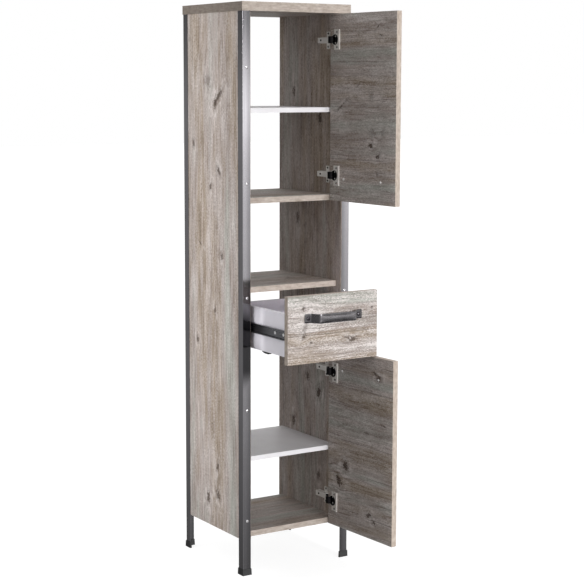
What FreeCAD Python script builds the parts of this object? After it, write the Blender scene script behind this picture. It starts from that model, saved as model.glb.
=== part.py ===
"""Tall open-backed cabinet: boards between four steel angle posts, two hinged doors and one drawer.

X runs to the right, Y to the back and Z up. The origin lies on the floor under the middle of the
whole cabinet as it is stored, a little behind the plane of the front posts. Doors and drawer are
laid out closed and then set in the stored pose: doors swung open on their hinge pins, drawer pulled
out along its slides.
"""
import FreeCAD, Part
import os
import re
import Sketcher

doc = FreeCAD.newDocument("tall_cabinet")
sheet = doc.addObject("Spreadsheet::Sheet", "sizes")

# Driving dimensions, in millimetres and degrees
SIZES = {
    "total_height": 1800.0,
    "frame_width": 397.0,
    "frame_depth": 377.0,
    "origin_setback": 38.0,
    "top_overhang": 1.5,
    "top_thickness": 28.0,
    "side_thickness": 28.0,
    "side_bottom": 115.0,
    "shelf_thickness": 18.0,
    "shelf_recess": 29.0,
    "shelf_back_recess": 24.0,
    "middle_shelf_reveal": 3.0,
    "compartment_height": 262.0,
    "loose_shelf_thickness": 15.0,
    "loose_shelf_recess": 31.0,
    "loose_shelf_gap": 0.8,
    "upper_loose_shelf_drop": 295.0,
    "lower_loose_shelf_lift": 243.0,
    "shelf_pin_radius": 2.5,
    "shelf_pin_seat": 8.0,
    "shelf_pin_reach": 8.0,
    "shelf_pin_front_inset": 40.5,
    "shelf_pin_back_inset": 66.0,
    "shelf_pin_row_pitch": 70.0,
    "dowel_radius": 4.0,
    "dowel_length": 30.0,
    "dowel_seat": 12.0,
    "dowel_inset": 40.0,
    "cam_inset": 88.0,
    "cam_radius": 7.5,
    "cam_height": 12.5,
    "cam_setback": 24.0,
    "cam_bolt_radius": 3.0,
    "cam_bolt_seat": 11.0,
    "fit_clearance": 0.1,
    "post_leg": 28.0,
    "post_gauge": 1.5,
    "post_corner_radius": 1.2,
    "post_screw_first": 177.0,
    "post_screw_drop": 171.0,
    "post_screw_inset": 15.2,
    "post_screw_length": 26.0,
    "post_screw_head": 4.5,
    "cap_height": 20.0,
    "cap_wall": 2.4,
    "cap_floor": 3.0,
    "cap_clearance": 0.2,
    "cap_taper": 2.0,
    "front_gap": 4.5,
    "front_recess": 2.0,
    "front_thickness": 18.0,
    "door_head_gap": 2.0,
    "door_open_angle": 93.3,
    "drawer_front_height": 209.0,
    "drawer_front_gap": 3.0,
    "drawer_pull": 210.0,
    "hinge_end_offset": 80.0,
    "hinge_pin_inset": 14.0,
    "hinge_pin_depth": 8.5,
    "hinge_pin_radius": 1.5,
    "hinge_running_clearance": 0.06,
    "cup_radius": 17.5,
    "cup_depth": 13.0,
    "cup_wall": 0.8,
    "cup_inset": 22.5,
    "cup_flange_height": 64.0,
    "cup_flange_width": 30.0,
    "cup_flange_offset": 12.0,
    "cup_flange_gauge": 1.2,
    "cup_lip_height": 5.5,
    "cup_screw_spacing": 48.0,
    "cup_screw_length": 12.0,
    "neck_width": 15.0,
    "neck_cup_width": 22.0,
    "neck_mouth_width": 16.0,
    "neck_gauge": 4.0,
    "neck_bend": 8.0,
    "neck_reach": 7.5,
    "neck_barrel": 3.0,
    "arm_setback": 40.0,
    "arm_length": 61.0,
    "arm_width": 17.0,
    "arm_depth": 11.0,
    "arm_gauge": 1.5,
    "plate_gauge": 3.0,
    "plate_length": 52.0,
    "plate_width": 19.0,
    "plate_wing_span": 54.0,
    "plate_wing_width": 18.0,
    "plate_wing_setback": 56.0,
    "plate_screw_spacing": 42.0,
    "plate_screw_length": 14.0,
    "drawer_length": 300.0,
    "drawer_side_drop": 55.0,
    "drawer_side_lift": 21.5,
    "drawer_board": 12.0,
    "drawer_bottom_gauge": 4.0,
    "drawer_bottom_lift": 10.0,
    "drawer_groove_depth": 6.0,
    "drawer_dowel_radius": 3.0,
    "drawer_dowel_seat": 9.0,
    "drawer_dowel_length": 24.0,
    "drawer_dowel_inset": 28.0,
    "drawer_clip_length": 35.0,
    "drawer_clip_height": 6.0,
    "drawer_clip_setback": 108.0,
    "slide_space": 12.7,
    "slide_length": 300.0,
    "slide_travel": 225.0,
    "slide_setback": 3.0,
    "slide_lift": 67.5,
    "slide_gauge": 1.2,
    "slide_outer_height": 42.0,
    "slide_outer_depth": 9.5,
    "slide_inner_height": 30.0,
    "slide_inner_depth": 9.2,
    "slide_screw_length": 10.0,
    "slide_screw_head": 5.0,
    "cage_length": 70.0,
    "cage_gauge": 0.8,
    "cage_depth": 7.2,
    "cage_gap": 0.4,
    "ball_clearance": 0.3,
    "ball_pitch": 11.0,
    "handle_side_margin": 71.75,
    "handle_foot": 24.0,
    "handle_leg_run": 11.0,
    "handle_standoff": 32.0,
    "handle_gauge": 3.0,
    "handle_height": 28.0,
    "handle_bend_radius": 5.0,
    "handle_edge_offset": 70.0,
    "bolt_clearance": 0.2,
    "bolt_radius": 2.5,
    "bolt_head": 5.5,
    "bolt_nut": 4.0,
    "head_height": 2.5,
    "screw_radius": 1.8,
    "screw_head": 3.6,
    "screw_head_height": 1.8,
}
for row, (alias, number) in enumerate(SIZES.items(), start=1):
    sheet.set(f"A{row}", alias)
    sheet.set(f"B{row}", str(number))
    sheet.setAlias(f"B{row}", alias)
doc.recompute()

# Counts that do not change with size
POST_SCREWS = 5
PIN_ROWS = 2
BALLS_PER_TRACK = 6
SLIDE_SCREW_PLACES = (0.05, 0.21, 0.8)

# Places worked out from the driving dimensions
HALF_WIDTH = "(frame_width / 2)"
HALF_DEPTH = "(frame_depth / 2)"
FRAME_FRONT = "(-origin_setback)"
FRAME_BACK = "(frame_depth - origin_setback)"
FRAME_MIDDLE = "(frame_depth / 2 - origin_setback)"
UNDER_TOP = "(total_height - top_thickness)"
INNER = "(frame_width / 2 - post_gauge - side_thickness)"
FRONT_HALF = f"({INNER} - front_gap)"
FRONT_FACE = f"({FRAME_FRONT} + front_recess)"
FRONT_BACK = f"({FRONT_FACE} + front_thickness)"
SHELF_FRONT = f"({FRAME_FRONT} + shelf_recess)"
SHELF_BACK = f"({FRAME_BACK} - shelf_back_recess)"
BOTTOM_TOP = "(side_bottom + shelf_thickness)"
BETWEEN_DOORS = "(drawer_front_gap + drawer_front_height + middle_shelf_reveal + compartment_height)"
DOOR_HEIGHT = f"(({UNDER_TOP} - door_head_gap - side_bottom - {BETWEEN_DOORS}) / 2)"
UPPER_DOOR_BOTTOM = f"({UNDER_TOP} - door_head_gap - {DOOR_HEIGHT})"
DRAWER_FRONT_BOTTOM = f"(side_bottom + {DOOR_HEIGHT} + drawer_front_gap)"
DRAWER_FRONT_TOP = f"({DRAWER_FRONT_BOTTOM} + drawer_front_height)"
PIN_X = f"({FRONT_HALF} - hinge_pin_inset)"
PIN_Y = f"({FRONT_BACK} - hinge_pin_depth)"
CUP_X = f"({FRONT_HALF} - cup_inset)"
DRAWER_HALF = f"({INNER} - slide_space)"
DRAWER_SIDE_BOTTOM = f"({DRAWER_FRONT_BOTTOM} + drawer_side_lift)"
DRAWER_SIDE_HEIGHT = "(drawer_front_height - drawer_side_lift - drawer_side_drop)"
DRAWER_FLOOR = f"({DRAWER_SIDE_BOTTOM} + drawer_bottom_lift)"
SLIDE_Y = f"({FRONT_BACK} + slide_setback)"
SLIDE_Z = f"({DRAWER_SIDE_BOTTOM} + slide_lift)"
CAGE_Y = f"({SLIDE_Y} + (slide_length - slide_travel) / 2 + slide_travel / 2 - cage_length / 2)"
BALL_GAP = "((slide_outer_height - slide_inner_height) / 2 - slide_gauge)"
BALL_Z = f"(slide_inner_height / 2 + {BALL_GAP} / 2)"
HINGE_HEIGHTS = {
    "upper_door": (f"({UPPER_DOOR_BOTTOM} + hinge_end_offset)",
                   f"({UPPER_DOOR_BOTTOM} + {DOOR_HEIGHT} - hinge_end_offset)"),
    "lower_door": ("(side_bottom + hinge_end_offset)",
                   f"(side_bottom + {DOOR_HEIGHT} - hinge_end_offset)"),
}
DOOR_BOTTOMS = {"upper_door": UPPER_DOOR_BOTTOM, "lower_door": "side_bottom"}
HANDLE_HEIGHTS = {
    "upper_door": f"({UPPER_DOOR_BOTTOM} + handle_edge_offset)",
    "lower_door": f"(side_bottom + {DOOR_HEIGHT} - handle_edge_offset)",
    "drawer": f"({DRAWER_FRONT_TOP} - handle_edge_offset)",
}
FIXED_SHELVES = {
    "bottom_panel": BOTTOM_TOP,
    "middle_fixed_shelf": f"({DRAWER_FRONT_TOP} + middle_shelf_reveal)",
    "upper_fixed_shelf": f"({UPPER_DOOR_BOTTOM} + shelf_thickness)",
}
LOOSE_SHELVES = {
    "upper_loose_shelf": f"({UNDER_TOP} - upper_loose_shelf_drop)",
    "lower_loose_shelf": f"({BOTTOM_TOP} + lower_loose_shelf_lift)",
}
SIDES = {"left": -1, "right": 1}
DEPTHS = {"front": -1, "rear": 1}

nodes = {}


def words(formula):
    """Rewrite the bare size names of a formula as references to the sheet."""
    return re.sub(r"[a-z]+_[a-z_]+", lambda match: "sizes." + match.group(0), formula)


def bind(thing, prop, formula):
    thing.setExpression(prop, words(str(formula)))


def locate(thing, x="0", y="0", z="0"):
    bind(thing, "Placement.Base.x", x)
    bind(thing, "Placement.Base.y", y)
    bind(thing, "Placement.Base.z", z)
    return thing


def turn(thing, direction):
    """Turn a piece built along +Z so that it points along a signed axis."""
    target = FreeCAD.Vector(*direction)
    rotation = FreeCAD.Rotation(FreeCAD.Vector(0, 0, 1), target)
    thing.Placement = FreeCAD.Placement(FreeCAD.Vector(0, 0, 0), rotation)
    return thing


def swing(thing, x="0", y="0", z="0"):
    """Place a door piece and turn it open about the door's hinge pin."""
    angle = "door_open_angle"
    base_x = f"{PIN_X} + ({x} - {PIN_X}) * cos({angle}) - ({y} - {PIN_Y}) * sin({angle})"
    base_y = f"{PIN_Y} + ({x} - {PIN_X}) * sin({angle}) + ({y} - {PIN_Y}) * cos({angle})"
    quarter_turn = FreeCAD.Rotation(FreeCAD.Vector(0, 0, 1), 90)
    thing.Placement = FreeCAD.Placement(FreeCAD.Vector(0, 0, 0), quarter_turn)
    bind(thing, "Placement.Rotation.Angle", angle)
    return locate(thing, base_x, base_y, z)


def pull(thing, x="0", y="0", z="0"):
    """Place a drawer piece and slide it out by the stored pull."""
    return locate(thing, x, f"{y} - drawer_pull", z)


def half_pull(thing, x="0", y="0", z="0"):
    """Place a ball cage, which travels half as far as the drawer."""
    return locate(thing, x, f"{y} - drawer_pull / 2", z)


def box(name, x, y, z, length, width, height):
    piece = doc.addObject("Part::Box", name)
    bind(piece, "Length", length)
    bind(piece, "Width", width)
    bind(piece, "Height", height)
    return locate(piece, x, y, z)


def rod(name, direction, x, y, z, radius, length):
    piece = turn(doc.addObject("Part::Cylinder", name), direction)
    bind(piece, "Radius", radius)
    bind(piece, "Height", length)
    return locate(piece, x, y, z)


def cone(name, z, lower, upper, height):
    piece = doc.addObject("Part::Cone", name)
    bind(piece, "Radius1", lower)
    bind(piece, "Radius2", upper)
    bind(piece, "Height", height)
    return locate(piece, z=z)


def group(name, pieces):
    compound = doc.addObject("Part::Compound", name)
    compound.Links = pieces
    return compound


def fuse(name, pieces):
    result = doc.addObject("Part::MultiFuse", name)
    result.Shapes = pieces
    result.Refine = True
    return result


def cut(name, base, tools):
    result = doc.addObject("Part::Cut", name)
    result.Base = base
    result.Tool = tools[0] if len(tools) == 1 else group(name + "_tools", tools)
    return result


def copy_at(name, source, direction=(0, 0, 1), x="0", y="0", z="0"):
    return locate(turn(group(name, [source]), direction), x, y, z)


def node(label, thing):
    thing.Label = label
    nodes[label] = thing
    return thing


def outline(body, role, points, lift):
    """A closed sketch of straight runs, every corner held by formulas."""
    plane = [item for item in body.Origin.OriginFeatures if item.Role == role][0]
    sketch = body.newObject("Sketcher::SketchObject", "outline")
    sketch.AttachmentSupport = (plane, [""])
    sketch.MapMode = "FlatFace"
    bind(sketch, "AttachmentOffset.Base.z", lift)
    count = len(points)
    corners = [FreeCAD.Vector(sheet.get("post_leg"), 0, 0)]
    for index in range(1, count):
        spin = FreeCAD.Rotation(FreeCAD.Vector(0, 0, 1), 360 * index / count)
        corners.append(spin.multVec(corners[0]))
    for index in range(count):
        sketch.addGeometry(Part.LineSegment(corners[index], corners[(index + 1) % count]), False)
    for index in range(count):
        sketch.addConstraint(Sketcher.Constraint("Coincident", index, 2, (index + 1) % count, 1))
    for index, (along, up) in enumerate(points):
        spot = corners[index]
        for kind, formula, start in (("DistanceX", along, spot.x), ("DistanceY", up, spot.y)):
            rule = sketch.addConstraint(Sketcher.Constraint(kind, -1, 1, index, 1, start))
            bind(sketch, f"Constraints[{rule}]", formula)
    return sketch


def prism(name, role, points, length, lift="0", taper=None, flip=False):
    """A body padded from a sketch on one of its own origin planes."""
    body = doc.addObject("PartDesign::Body", name)
    sketch = outline(body, role, points, lift)
    pad = body.newObject("PartDesign::Pad", "pad")
    pad.Profile = sketch
    pad.Reversed = flip
    bind(pad, "Length", length)
    if taper:
        bind(pad, "TaperAngle", taper)
    return body


def round_edges(name, source, radius, wanted):
    """Round the upright edges of a piece that a test of their place picks out."""
    doc.recompute()
    chosen = []
    for index, edge in enumerate(source.Shape.Edges, start=1):
        if abs(edge.tangentAt(edge.FirstParameter).z) > 0.9 and wanted(edge.CenterOfMass):
            chosen.append((index, sheet.get(radius), sheet.get(radius)))
    rounded = doc.addObject("Part::Fillet", name)
    rounded.Base = source
    rounded.Edges = chosen
    return rounded


def angle_section(side, depth, outside, inside, reach):
    """Corners of an angle's section, grown outward, inward and lengthwise by formulas."""
    outer_x = f"{side} * ({HALF_WIDTH} + {outside})"
    inner_x = f"{side} * ({HALF_WIDTH} - post_gauge - {inside})"
    end_x = f"{side} * ({HALF_WIDTH} - post_leg - {reach})"
    outer_y = f"{FRAME_MIDDLE} + {depth} * ({HALF_DEPTH} + {outside})"
    inner_y = f"{FRAME_MIDDLE} + {depth} * ({HALF_DEPTH} - post_gauge - {inside})"
    end_y = f"{FRAME_MIDDLE} + {depth} * ({HALF_DEPTH} - post_leg - {reach})"
    return [(outer_x, outer_y), (end_x, outer_y), (end_x, inner_y),
            (inner_x, inner_y), (inner_x, end_y), (outer_x, end_y)]


def flat_screw(name, length, radius="screw_head"):
    """A screw along +Z with its domed head above zero and its shank below."""
    head = cone(name + "_head", "0", radius, f"{radius} * 0.6", "screw_head_height")
    shank = rod(name + "_shank", (0, 0, -1), "0", "0", "0", "screw_radius", length)
    return fuse(name, [head, shank])


def flush_screw(name, length):
    """A screw whose flat head fills the gauge of the slide it holds."""
    head = rod(name + "_head", (0, 0, -1), "0", "0", "0", "slide_screw_head", "slide_gauge")
    shank = rod(name + "_shank", (0, 0, -1), "0", "0", "0", "screw_radius", f"slide_gauge + {length}")
    return fuse(name, [head, shank])


# Shared cutters for what passes from one board into the next
dowels = []
dowel_holes = {"left": [], "right": [], "top": []}
cam_bolts = []
cam_discs = []
shelf_cuts = {}
side_cuts = {"left": [], "right": []}
for shelf, top in FIXED_SHELVES.items():
    shelf_cuts[shelf] = []
    middle = f"{top} - shelf_thickness / 2"
    for side, sign in SIDES.items():
        for depth, edge in (("front", f"{SHELF_FRONT} +"), ("rear", f"{SHELF_BACK} -")):
            tag = f"{shelf}_{side}_{depth}"
            inward = (-sign, 0, 0)
            start = f"{sign} * ({INNER} + dowel_seat)"
            place = (start, f"{edge} dowel_inset", middle)
            dowels.append(rod(f"dowel_{tag}", inward, *place, "dowel_radius", "dowel_length"))
            hole = rod(f"dowel_hole_{tag}", inward, *place, "dowel_radius + fit_clearance", "dowel_length")
            bolt_start = f"{sign} * ({INNER} + cam_bolt_seat)"
            bolt_place = (bolt_start, f"{edge} cam_inset", middle)
            bolt_run = "cam_bolt_seat + cam_setback - cam_radius - fit_clearance"
            cam_bolts.append(rod(f"cam_bolt_{tag}", inward, *bolt_place, "cam_bolt_radius", bolt_run))
            bolt_hole = rod(f"bolt_hole_{tag}", inward, *bolt_place, "cam_bolt_radius + fit_clearance",
                            "cam_bolt_seat + cam_setback")
            disc_x = f"{sign} * ({INNER} - cam_setback)"
            disc_place = (disc_x, f"{edge} cam_inset", f"{top} - shelf_thickness")
            cam_discs.append(rod(f"cam_disc_{tag}", (0, 0, 1), *disc_place, "cam_radius", "cam_height"))
            disc_hole = rod(f"disc_hole_{tag}", (0, 0, 1), *disc_place,
                            "cam_radius + fit_clearance", "cam_height")
            shelf_cuts[shelf] += [hole, bolt_hole, disc_hole]
            side_cuts[side] += [hole, bolt_hole]

# Dowels between the side panels and the top
top_holes = []
for side, sign in SIDES.items():
    for depth, facing in DEPTHS.items():
        across = f"{sign} * ({INNER} + side_thickness / 2)"
        along = f"{FRAME_MIDDLE} + {facing} * ({HALF_DEPTH} - post_gauge - dowel_inset)"
        place = (across, along, f"{UNDER_TOP} + dowel_seat")
        dowels.append(rod(f"top_dowel_{side}_{depth}", (0, 0, -1), *place, "dowel_radius", "dowel_length"))
        hole = rod(f"top_hole_{side}_{depth}", (0, 0, -1), *place,
                   "dowel_radius + fit_clearance", "dowel_length")
        top_holes.append(hole)
        side_cuts[side].append(hole)

# Shelf pins, and the spare row of holes above each loose shelf
pins = []
for shelf, top in LOOSE_SHELVES.items():
    for side, sign in SIDES.items():
        for depth, along in (("front", f"{SHELF_FRONT} + shelf_pin_front_inset"),
                             ("rear", f"{SHELF_BACK} - shelf_pin_back_inset")):
            tag = f"{shelf}_{side}_{depth}"
            start = f"{sign} * ({INNER} + shelf_pin_seat)"
            height = f"{top} - loose_shelf_thickness - shelf_pin_radius"
            inward = (-sign, 0, 0)
            pins.append(rod(f"pin_{tag}", inward, start, along, height, "shelf_pin_radius",
                            "shelf_pin_seat + shelf_pin_reach"))
            for level in range(PIN_ROWS):
                row_height = f"{height} + {level} * shelf_pin_row_pitch"
                side_cuts[side].append(rod(f"pin_hole_{tag}_{level}", inward, start, along, row_height,
                                           "shelf_pin_radius + fit_clearance",
                                           "shelf_pin_seat + shelf_pin_reach"))
node("shelf_pins", group("shelf_pins", pins))
node("carcass_dowels", group("carcass_dowels", dowels))
node("cam_bolts", group("cam_bolts", cam_bolts))
node("cam_discs", group("cam_discs", cam_discs))

# Corner posts, their foot caps and the screws through their front and rear legs
post_screw = flat_screw("post_screw", "post_screw_length", "post_screw_head")
post_screws = []
post_screw_pitch = f"({UNDER_TOP} - post_screw_drop - post_screw_first) / {POST_SCREWS - 1}"
for side, sign in SIDES.items():
    for depth, facing in DEPTHS.items():
        tag = f"{depth}_{side}"
        section = angle_section(sign, facing, "0", "0", "0")
        bar = prism(f"post_bar_{tag}", "XY_Plane", section, f"{UNDER_TOP} - cap_floor", "cap_floor")
        outer_x = sign * sheet.get("frame_width") / 2
        outer_y = sheet.get("frame_depth") * (facing + 1) / 2 - sheet.get("origin_setback")
        slack = sheet.get("post_gauge") / 2
        bar = round_edges(f"post_round_{tag}", bar, "post_corner_radius",
                          lambda spot: abs(spot.x - outer_x) < slack and abs(spot.y - outer_y) < slack)
        holes = []
        for level in range(POST_SCREWS):
            across = f"{sign} * ({HALF_WIDTH} - post_screw_inset)"
            surface = f"{FRAME_MIDDLE} + {facing} * {HALF_DEPTH}"
            height = f"post_screw_first + {level} * {post_screw_pitch}"
            outward = (0, facing, 0)
            name = f"post_screw_{tag}_{level}"
            post_screws.append(copy_at(name, post_screw, outward, across, surface, height))
            hole = rod(f"post_hole_{tag}_{level}", (0, -facing, 0), across, surface, height,
                       "screw_radius + fit_clearance", "post_screw_length + fit_clearance")
            holes.append(hole)
            side_cuts[side].append(hole)
        node(f"corner_post_{tag}", cut(f"post_{tag}", bar, holes))
        skirt = angle_section(sign, facing, "cap_wall", "cap_wall", "cap_wall")
        cap = prism(f"cap_block_{tag}", "XY_Plane", skirt, "cap_height", "0", "-cap_taper")
        slot = angle_section(sign, facing, "cap_clearance", "cap_clearance", "cap_clearance")
        socket = prism(f"cap_socket_{tag}", "XY_Plane", slot, "cap_height", "cap_floor")
        node(f"foot_cap_{tag}", cut(f"cap_{tag}", cap, [socket]))
node("post_screws", group("post_screws", post_screws))

# Hinges: mounting plates, arms and necks stay with the carcass, cups and pins ride on the doors
ARM_FACE = f"({INNER} - plate_gauge - arm_depth)"
ARM_Y = f"({FRONT_BACK} + arm_setback)"
WING_Y = f"({FRONT_BACK} + plate_wing_setback)"
plate_front = f"({WING_Y} - plate_wing_width / 2)"
plate_back = f"({plate_front} + plate_length)"
wing_back = f"({WING_Y} + plate_wing_width / 2)"
half_span = "plate_wing_span / 2"
half_plate = "plate_width / 2"
plate_points = [(plate_front, f"-{half_span}"), (wing_back, f"-{half_span}"), (wing_back, f"-{half_plate}"),
                (plate_back, f"-{half_plate}"), (plate_back, half_plate), (wing_back, half_plate),
                (wing_back, half_span), (plate_front, half_span)]
plate_blank = prism("plate_blank", "YZ_Plane", plate_points, "plate_gauge", f"{INNER} - plate_gauge")
plate_screw = flat_screw("plate_screw", "plate_screw_length")
PLATE_FACE = f"({INNER} - plate_gauge)"
plate_screw_spots = [(PLATE_FACE, WING_Y, f"{way} * plate_screw_spacing / 2") for way in (-1, 1)]
plate_holes = [rod(f"plate_hole_{index}", (1, 0, 0), *spot, "screw_radius + fit_clearance", "plate_gauge")
               for index, spot in enumerate(plate_screw_spots)]
hinge_plate = cut("hinge_plate", plate_blank, plate_holes)

half_arm = "arm_width / 2"
web_x = f"({ARM_FACE} + arm_gauge)"
arm_points = [(ARM_FACE, f"-{half_arm}"), (f"{INNER} - plate_gauge", f"-{half_arm}"),
              (f"{INNER} - plate_gauge", f"arm_gauge - {half_arm}"), (web_x, f"arm_gauge - {half_arm}"),
              (web_x, f"{half_arm} - arm_gauge"), (f"{INNER} - plate_gauge", f"{half_arm} - arm_gauge"),
              (f"{INNER} - plate_gauge", half_arm), (ARM_FACE, half_arm)]
arm_blank = prism("arm_blank", "XZ_Plane", arm_points, "arm_length", f"-{ARM_Y} - arm_length")
arm_screw_spot = (ARM_FACE, f"{ARM_Y} + arm_length * 0.7", "0")
arm_hole = rod("arm_hole", (1, 0, 0), *arm_screw_spot, "screw_radius + fit_clearance", "arm_gauge")
hinge_arm = cut("hinge_arm", arm_blank, [arm_hole])
arm_screw = flat_screw("arm_screw", "arm_depth - arm_gauge")

BEND_X = f"({PIN_X} - neck_reach)"
BEND_Y = f"({PIN_Y} + neck_bend + neck_gauge / 2)"
NECK_Z = "(-neck_cup_width / 2)"
bend_outer = rod("bend_outer", (0, 0, 1), BEND_X, BEND_Y, NECK_Z, "neck_bend + neck_gauge", "neck_cup_width")
bend_inner = rod("bend_inner", (0, 0, 1), BEND_X, BEND_Y, NECK_Z, "neck_bend", "neck_cup_width")
bend_open = box("bend_open", BEND_X, f"{PIN_Y} - neck_bend - neck_gauge", NECK_Z,
                "neck_reach + neck_bend + neck_gauge", "4 * (neck_bend + neck_gauge)", "neck_cup_width")
bend = cut("bend", bend_outer, [fuse("bend_waste", [bend_inner, bend_open])])
lower_leg = box("lower_leg", BEND_X, f"{PIN_Y} - neck_gauge / 2", NECK_Z,
                "neck_reach", "neck_gauge", "neck_cup_width")
barrel = rod("barrel", (0, 0, 1), PIN_X, PIN_Y, NECK_Z, "neck_barrel", "neck_cup_width")
upper_leg_y = f"({BEND_Y} + neck_bend)"
upper_leg = box("upper_leg", BEND_X, upper_leg_y, NECK_Z, f"{ARM_FACE} + neck_gauge - {BEND_X}",
                "neck_gauge", "neck_cup_width")
riser = box("riser", ARM_FACE, upper_leg_y, NECK_Z,
            "neck_gauge", f"{ARM_Y} - {upper_leg_y}", "neck_cup_width")
neck_strip = fuse("neck_strip", [bend, lower_leg, barrel, upper_leg, riser])
neck_foot = f"({PIN_Y} - neck_bend)"
flare_start = f"({upper_leg_y} + neck_gauge)"
half_wide = "neck_cup_width / 2"
half_narrow = "neck_width / 2"
flare_points = [(neck_foot, f"-{half_wide}"), (flare_start, f"-{half_wide}"), (ARM_Y, f"-{half_narrow}"),
                (ARM_Y, half_narrow), (flare_start, half_wide), (neck_foot, half_wide)]
flare_left = f"({BEND_X} - 2 * neck_bend)"
flare = prism("flare", "YZ_Plane", flare_points, f"{INNER} - {flare_left}", flare_left)
neck_blank = doc.addObject("Part::Common", "neck_blank")
neck_blank.Base = neck_strip
neck_blank.Tool = flare
neck_bore = rod("neck_bore", (0, 0, 1), PIN_X, PIN_Y, NECK_Z, "hinge_pin_radius + hinge_running_clearance",
                "neck_cup_width")
mouth_depth = f"({PIN_Y} + neck_bend - neck_gauge / 2)"
side_trim = "(neck_cup_width - neck_mouth_width) / 2"
neck_trims = [box(f"neck_trim_{index}", f"{BEND_X} - neck_gauge", f"{PIN_Y} - 2 * neck_bend", start,
                  "4 * neck_bend", f"{mouth_depth} - {PIN_Y} + 2 * neck_bend", side_trim)
              for index, start in enumerate((NECK_Z, "neck_mouth_width / 2"))]
hinge_neck = cut("hinge_neck", neck_blank, [neck_bore] + neck_trims)

CUP_INNER = "(cup_radius - fit_clearance - cup_wall)"
cup_dish = rod("cup_dish", (0, -1, 0), CUP_X, FRONT_BACK, "0", "cup_radius - fit_clearance",
               "cup_depth - fit_clearance")
FLANGE_X = f"({CUP_X} - cup_flange_offset)"
cup_flange = box("cup_flange", f"{FLANGE_X} - cup_flange_width / 2", FRONT_BACK, "-cup_flange_height / 2",
                 "cup_flange_width", "cup_flange_gauge", "cup_flange_height")
cup_lip = box("cup_lip", f"{FLANGE_X} - cup_flange_width / 2", FRONT_BACK, "-cup_flange_height / 2",
              "cup_flange_gauge", "cup_lip_height", "cup_flange_height")
cup_rim = rod("cup_rim", (0, 1, 0), CUP_X, FRONT_BACK, "0", "cup_radius + cup_wall", "cup_flange_gauge")
cup_mouth = rod("cup_mouth", (0, -1, 0), CUP_X, f"{FRONT_BACK} + cup_flange_gauge", "0", CUP_INNER,
                "cup_depth - fit_clearance - cup_wall + cup_flange_gauge")
CUP_FACE = f"({FRONT_BACK} + cup_flange_gauge)"
cup_screw_spots = [(FLANGE_X, CUP_FACE, f"{way} * cup_screw_spacing / 2") for way in (-1, 1)]
cup_holes = [rod(f"cup_hole_{index}", (0, -1, 0), *spot, "screw_radius + fit_clearance", "cup_flange_gauge")
             for index, spot in enumerate(cup_screw_spots)]
cup_blank = fuse("cup_blank", [cup_dish, cup_flange, cup_lip, cup_rim])
hinge_cup = cut("hinge_cup", cup_blank, [cup_mouth] + cup_holes)
cup_screw = flat_screw("cup_screw", "cup_screw_length")
PIN_FAR = "(cup_inset - hinge_pin_inset + hinge_pin_radius)"
PIN_HALF = f"(sqrt({CUP_INNER} ^ 2 - {PIN_FAR} ^ 2) - fit_clearance)"
hinge_pin = rod("hinge_pin", (0, 0, 1), PIN_X, PIN_Y, f"-{PIN_HALF}", "hinge_pin_radius", f"2 * {PIN_HALF}")

hardware_screws = []
for door, heights in HINGE_HEIGHTS.items():
    for part_name, source in (("plates", hinge_plate), ("arms", hinge_arm), ("necks", hinge_neck)):
        copies = [copy_at(f"{door}_{part_name}_{index}", source, z=height)
                  for index, height in enumerate(heights)]
        node(f"{door}_hinge_{part_name}", group(f"{door}_{part_name}", copies))
    for index, height in enumerate(heights):
        for spot in plate_screw_spots:
            x, y, z = spot
            tag = f"plate_screw_{door}_{index}_{len(hardware_screws)}"
            hardware_screws.append(copy_at(tag, plate_screw, (-1, 0, 0), x, y, f"{height} + {z}"))
            side_cuts["right"].append(rod(tag + "_hole", (1, 0, 0), x, y, f"{height} + {z}",
                                          "screw_radius + fit_clearance", "plate_screw_length"))
        x, y, z = arm_screw_spot
        hardware_screws.append(copy_at(f"arm_screw_{door}_{index}", arm_screw, (-1, 0, 0), x, y, height))

# Drawer slides: outer members on the side panels, inner members on the drawer, ball cages between
half_outer = "slide_outer_height / 2"
half_inner = "slide_inner_height / 2"
half_cage = f"({BALL_Z} + cage_gauge / 2)"


def channel(sign, near, far, half, gauge, open_to_drawer):
    """Corners of a slide's channel section, measured from the side panel's inner face."""
    def across(depth):
        return f"{sign} * ({INNER} - ({depth}))"
    back, lips, web = (near, far, f"{near} + {gauge}") if open_to_drawer else (far, near, f"{far} - {gauge}")
    low, high = f"{SLIDE_Z} - {half}", f"{SLIDE_Z} + {half}"
    return [(across(back), low), (across(lips), low), (across(lips), f"{low} + {gauge}"),
            (across(web), f"{low} + {gauge}"), (across(web), f"{high} - {gauge}"),
            (across(lips), f"{high} - {gauge}"), (across(lips), high), (across(back), high)]


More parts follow.
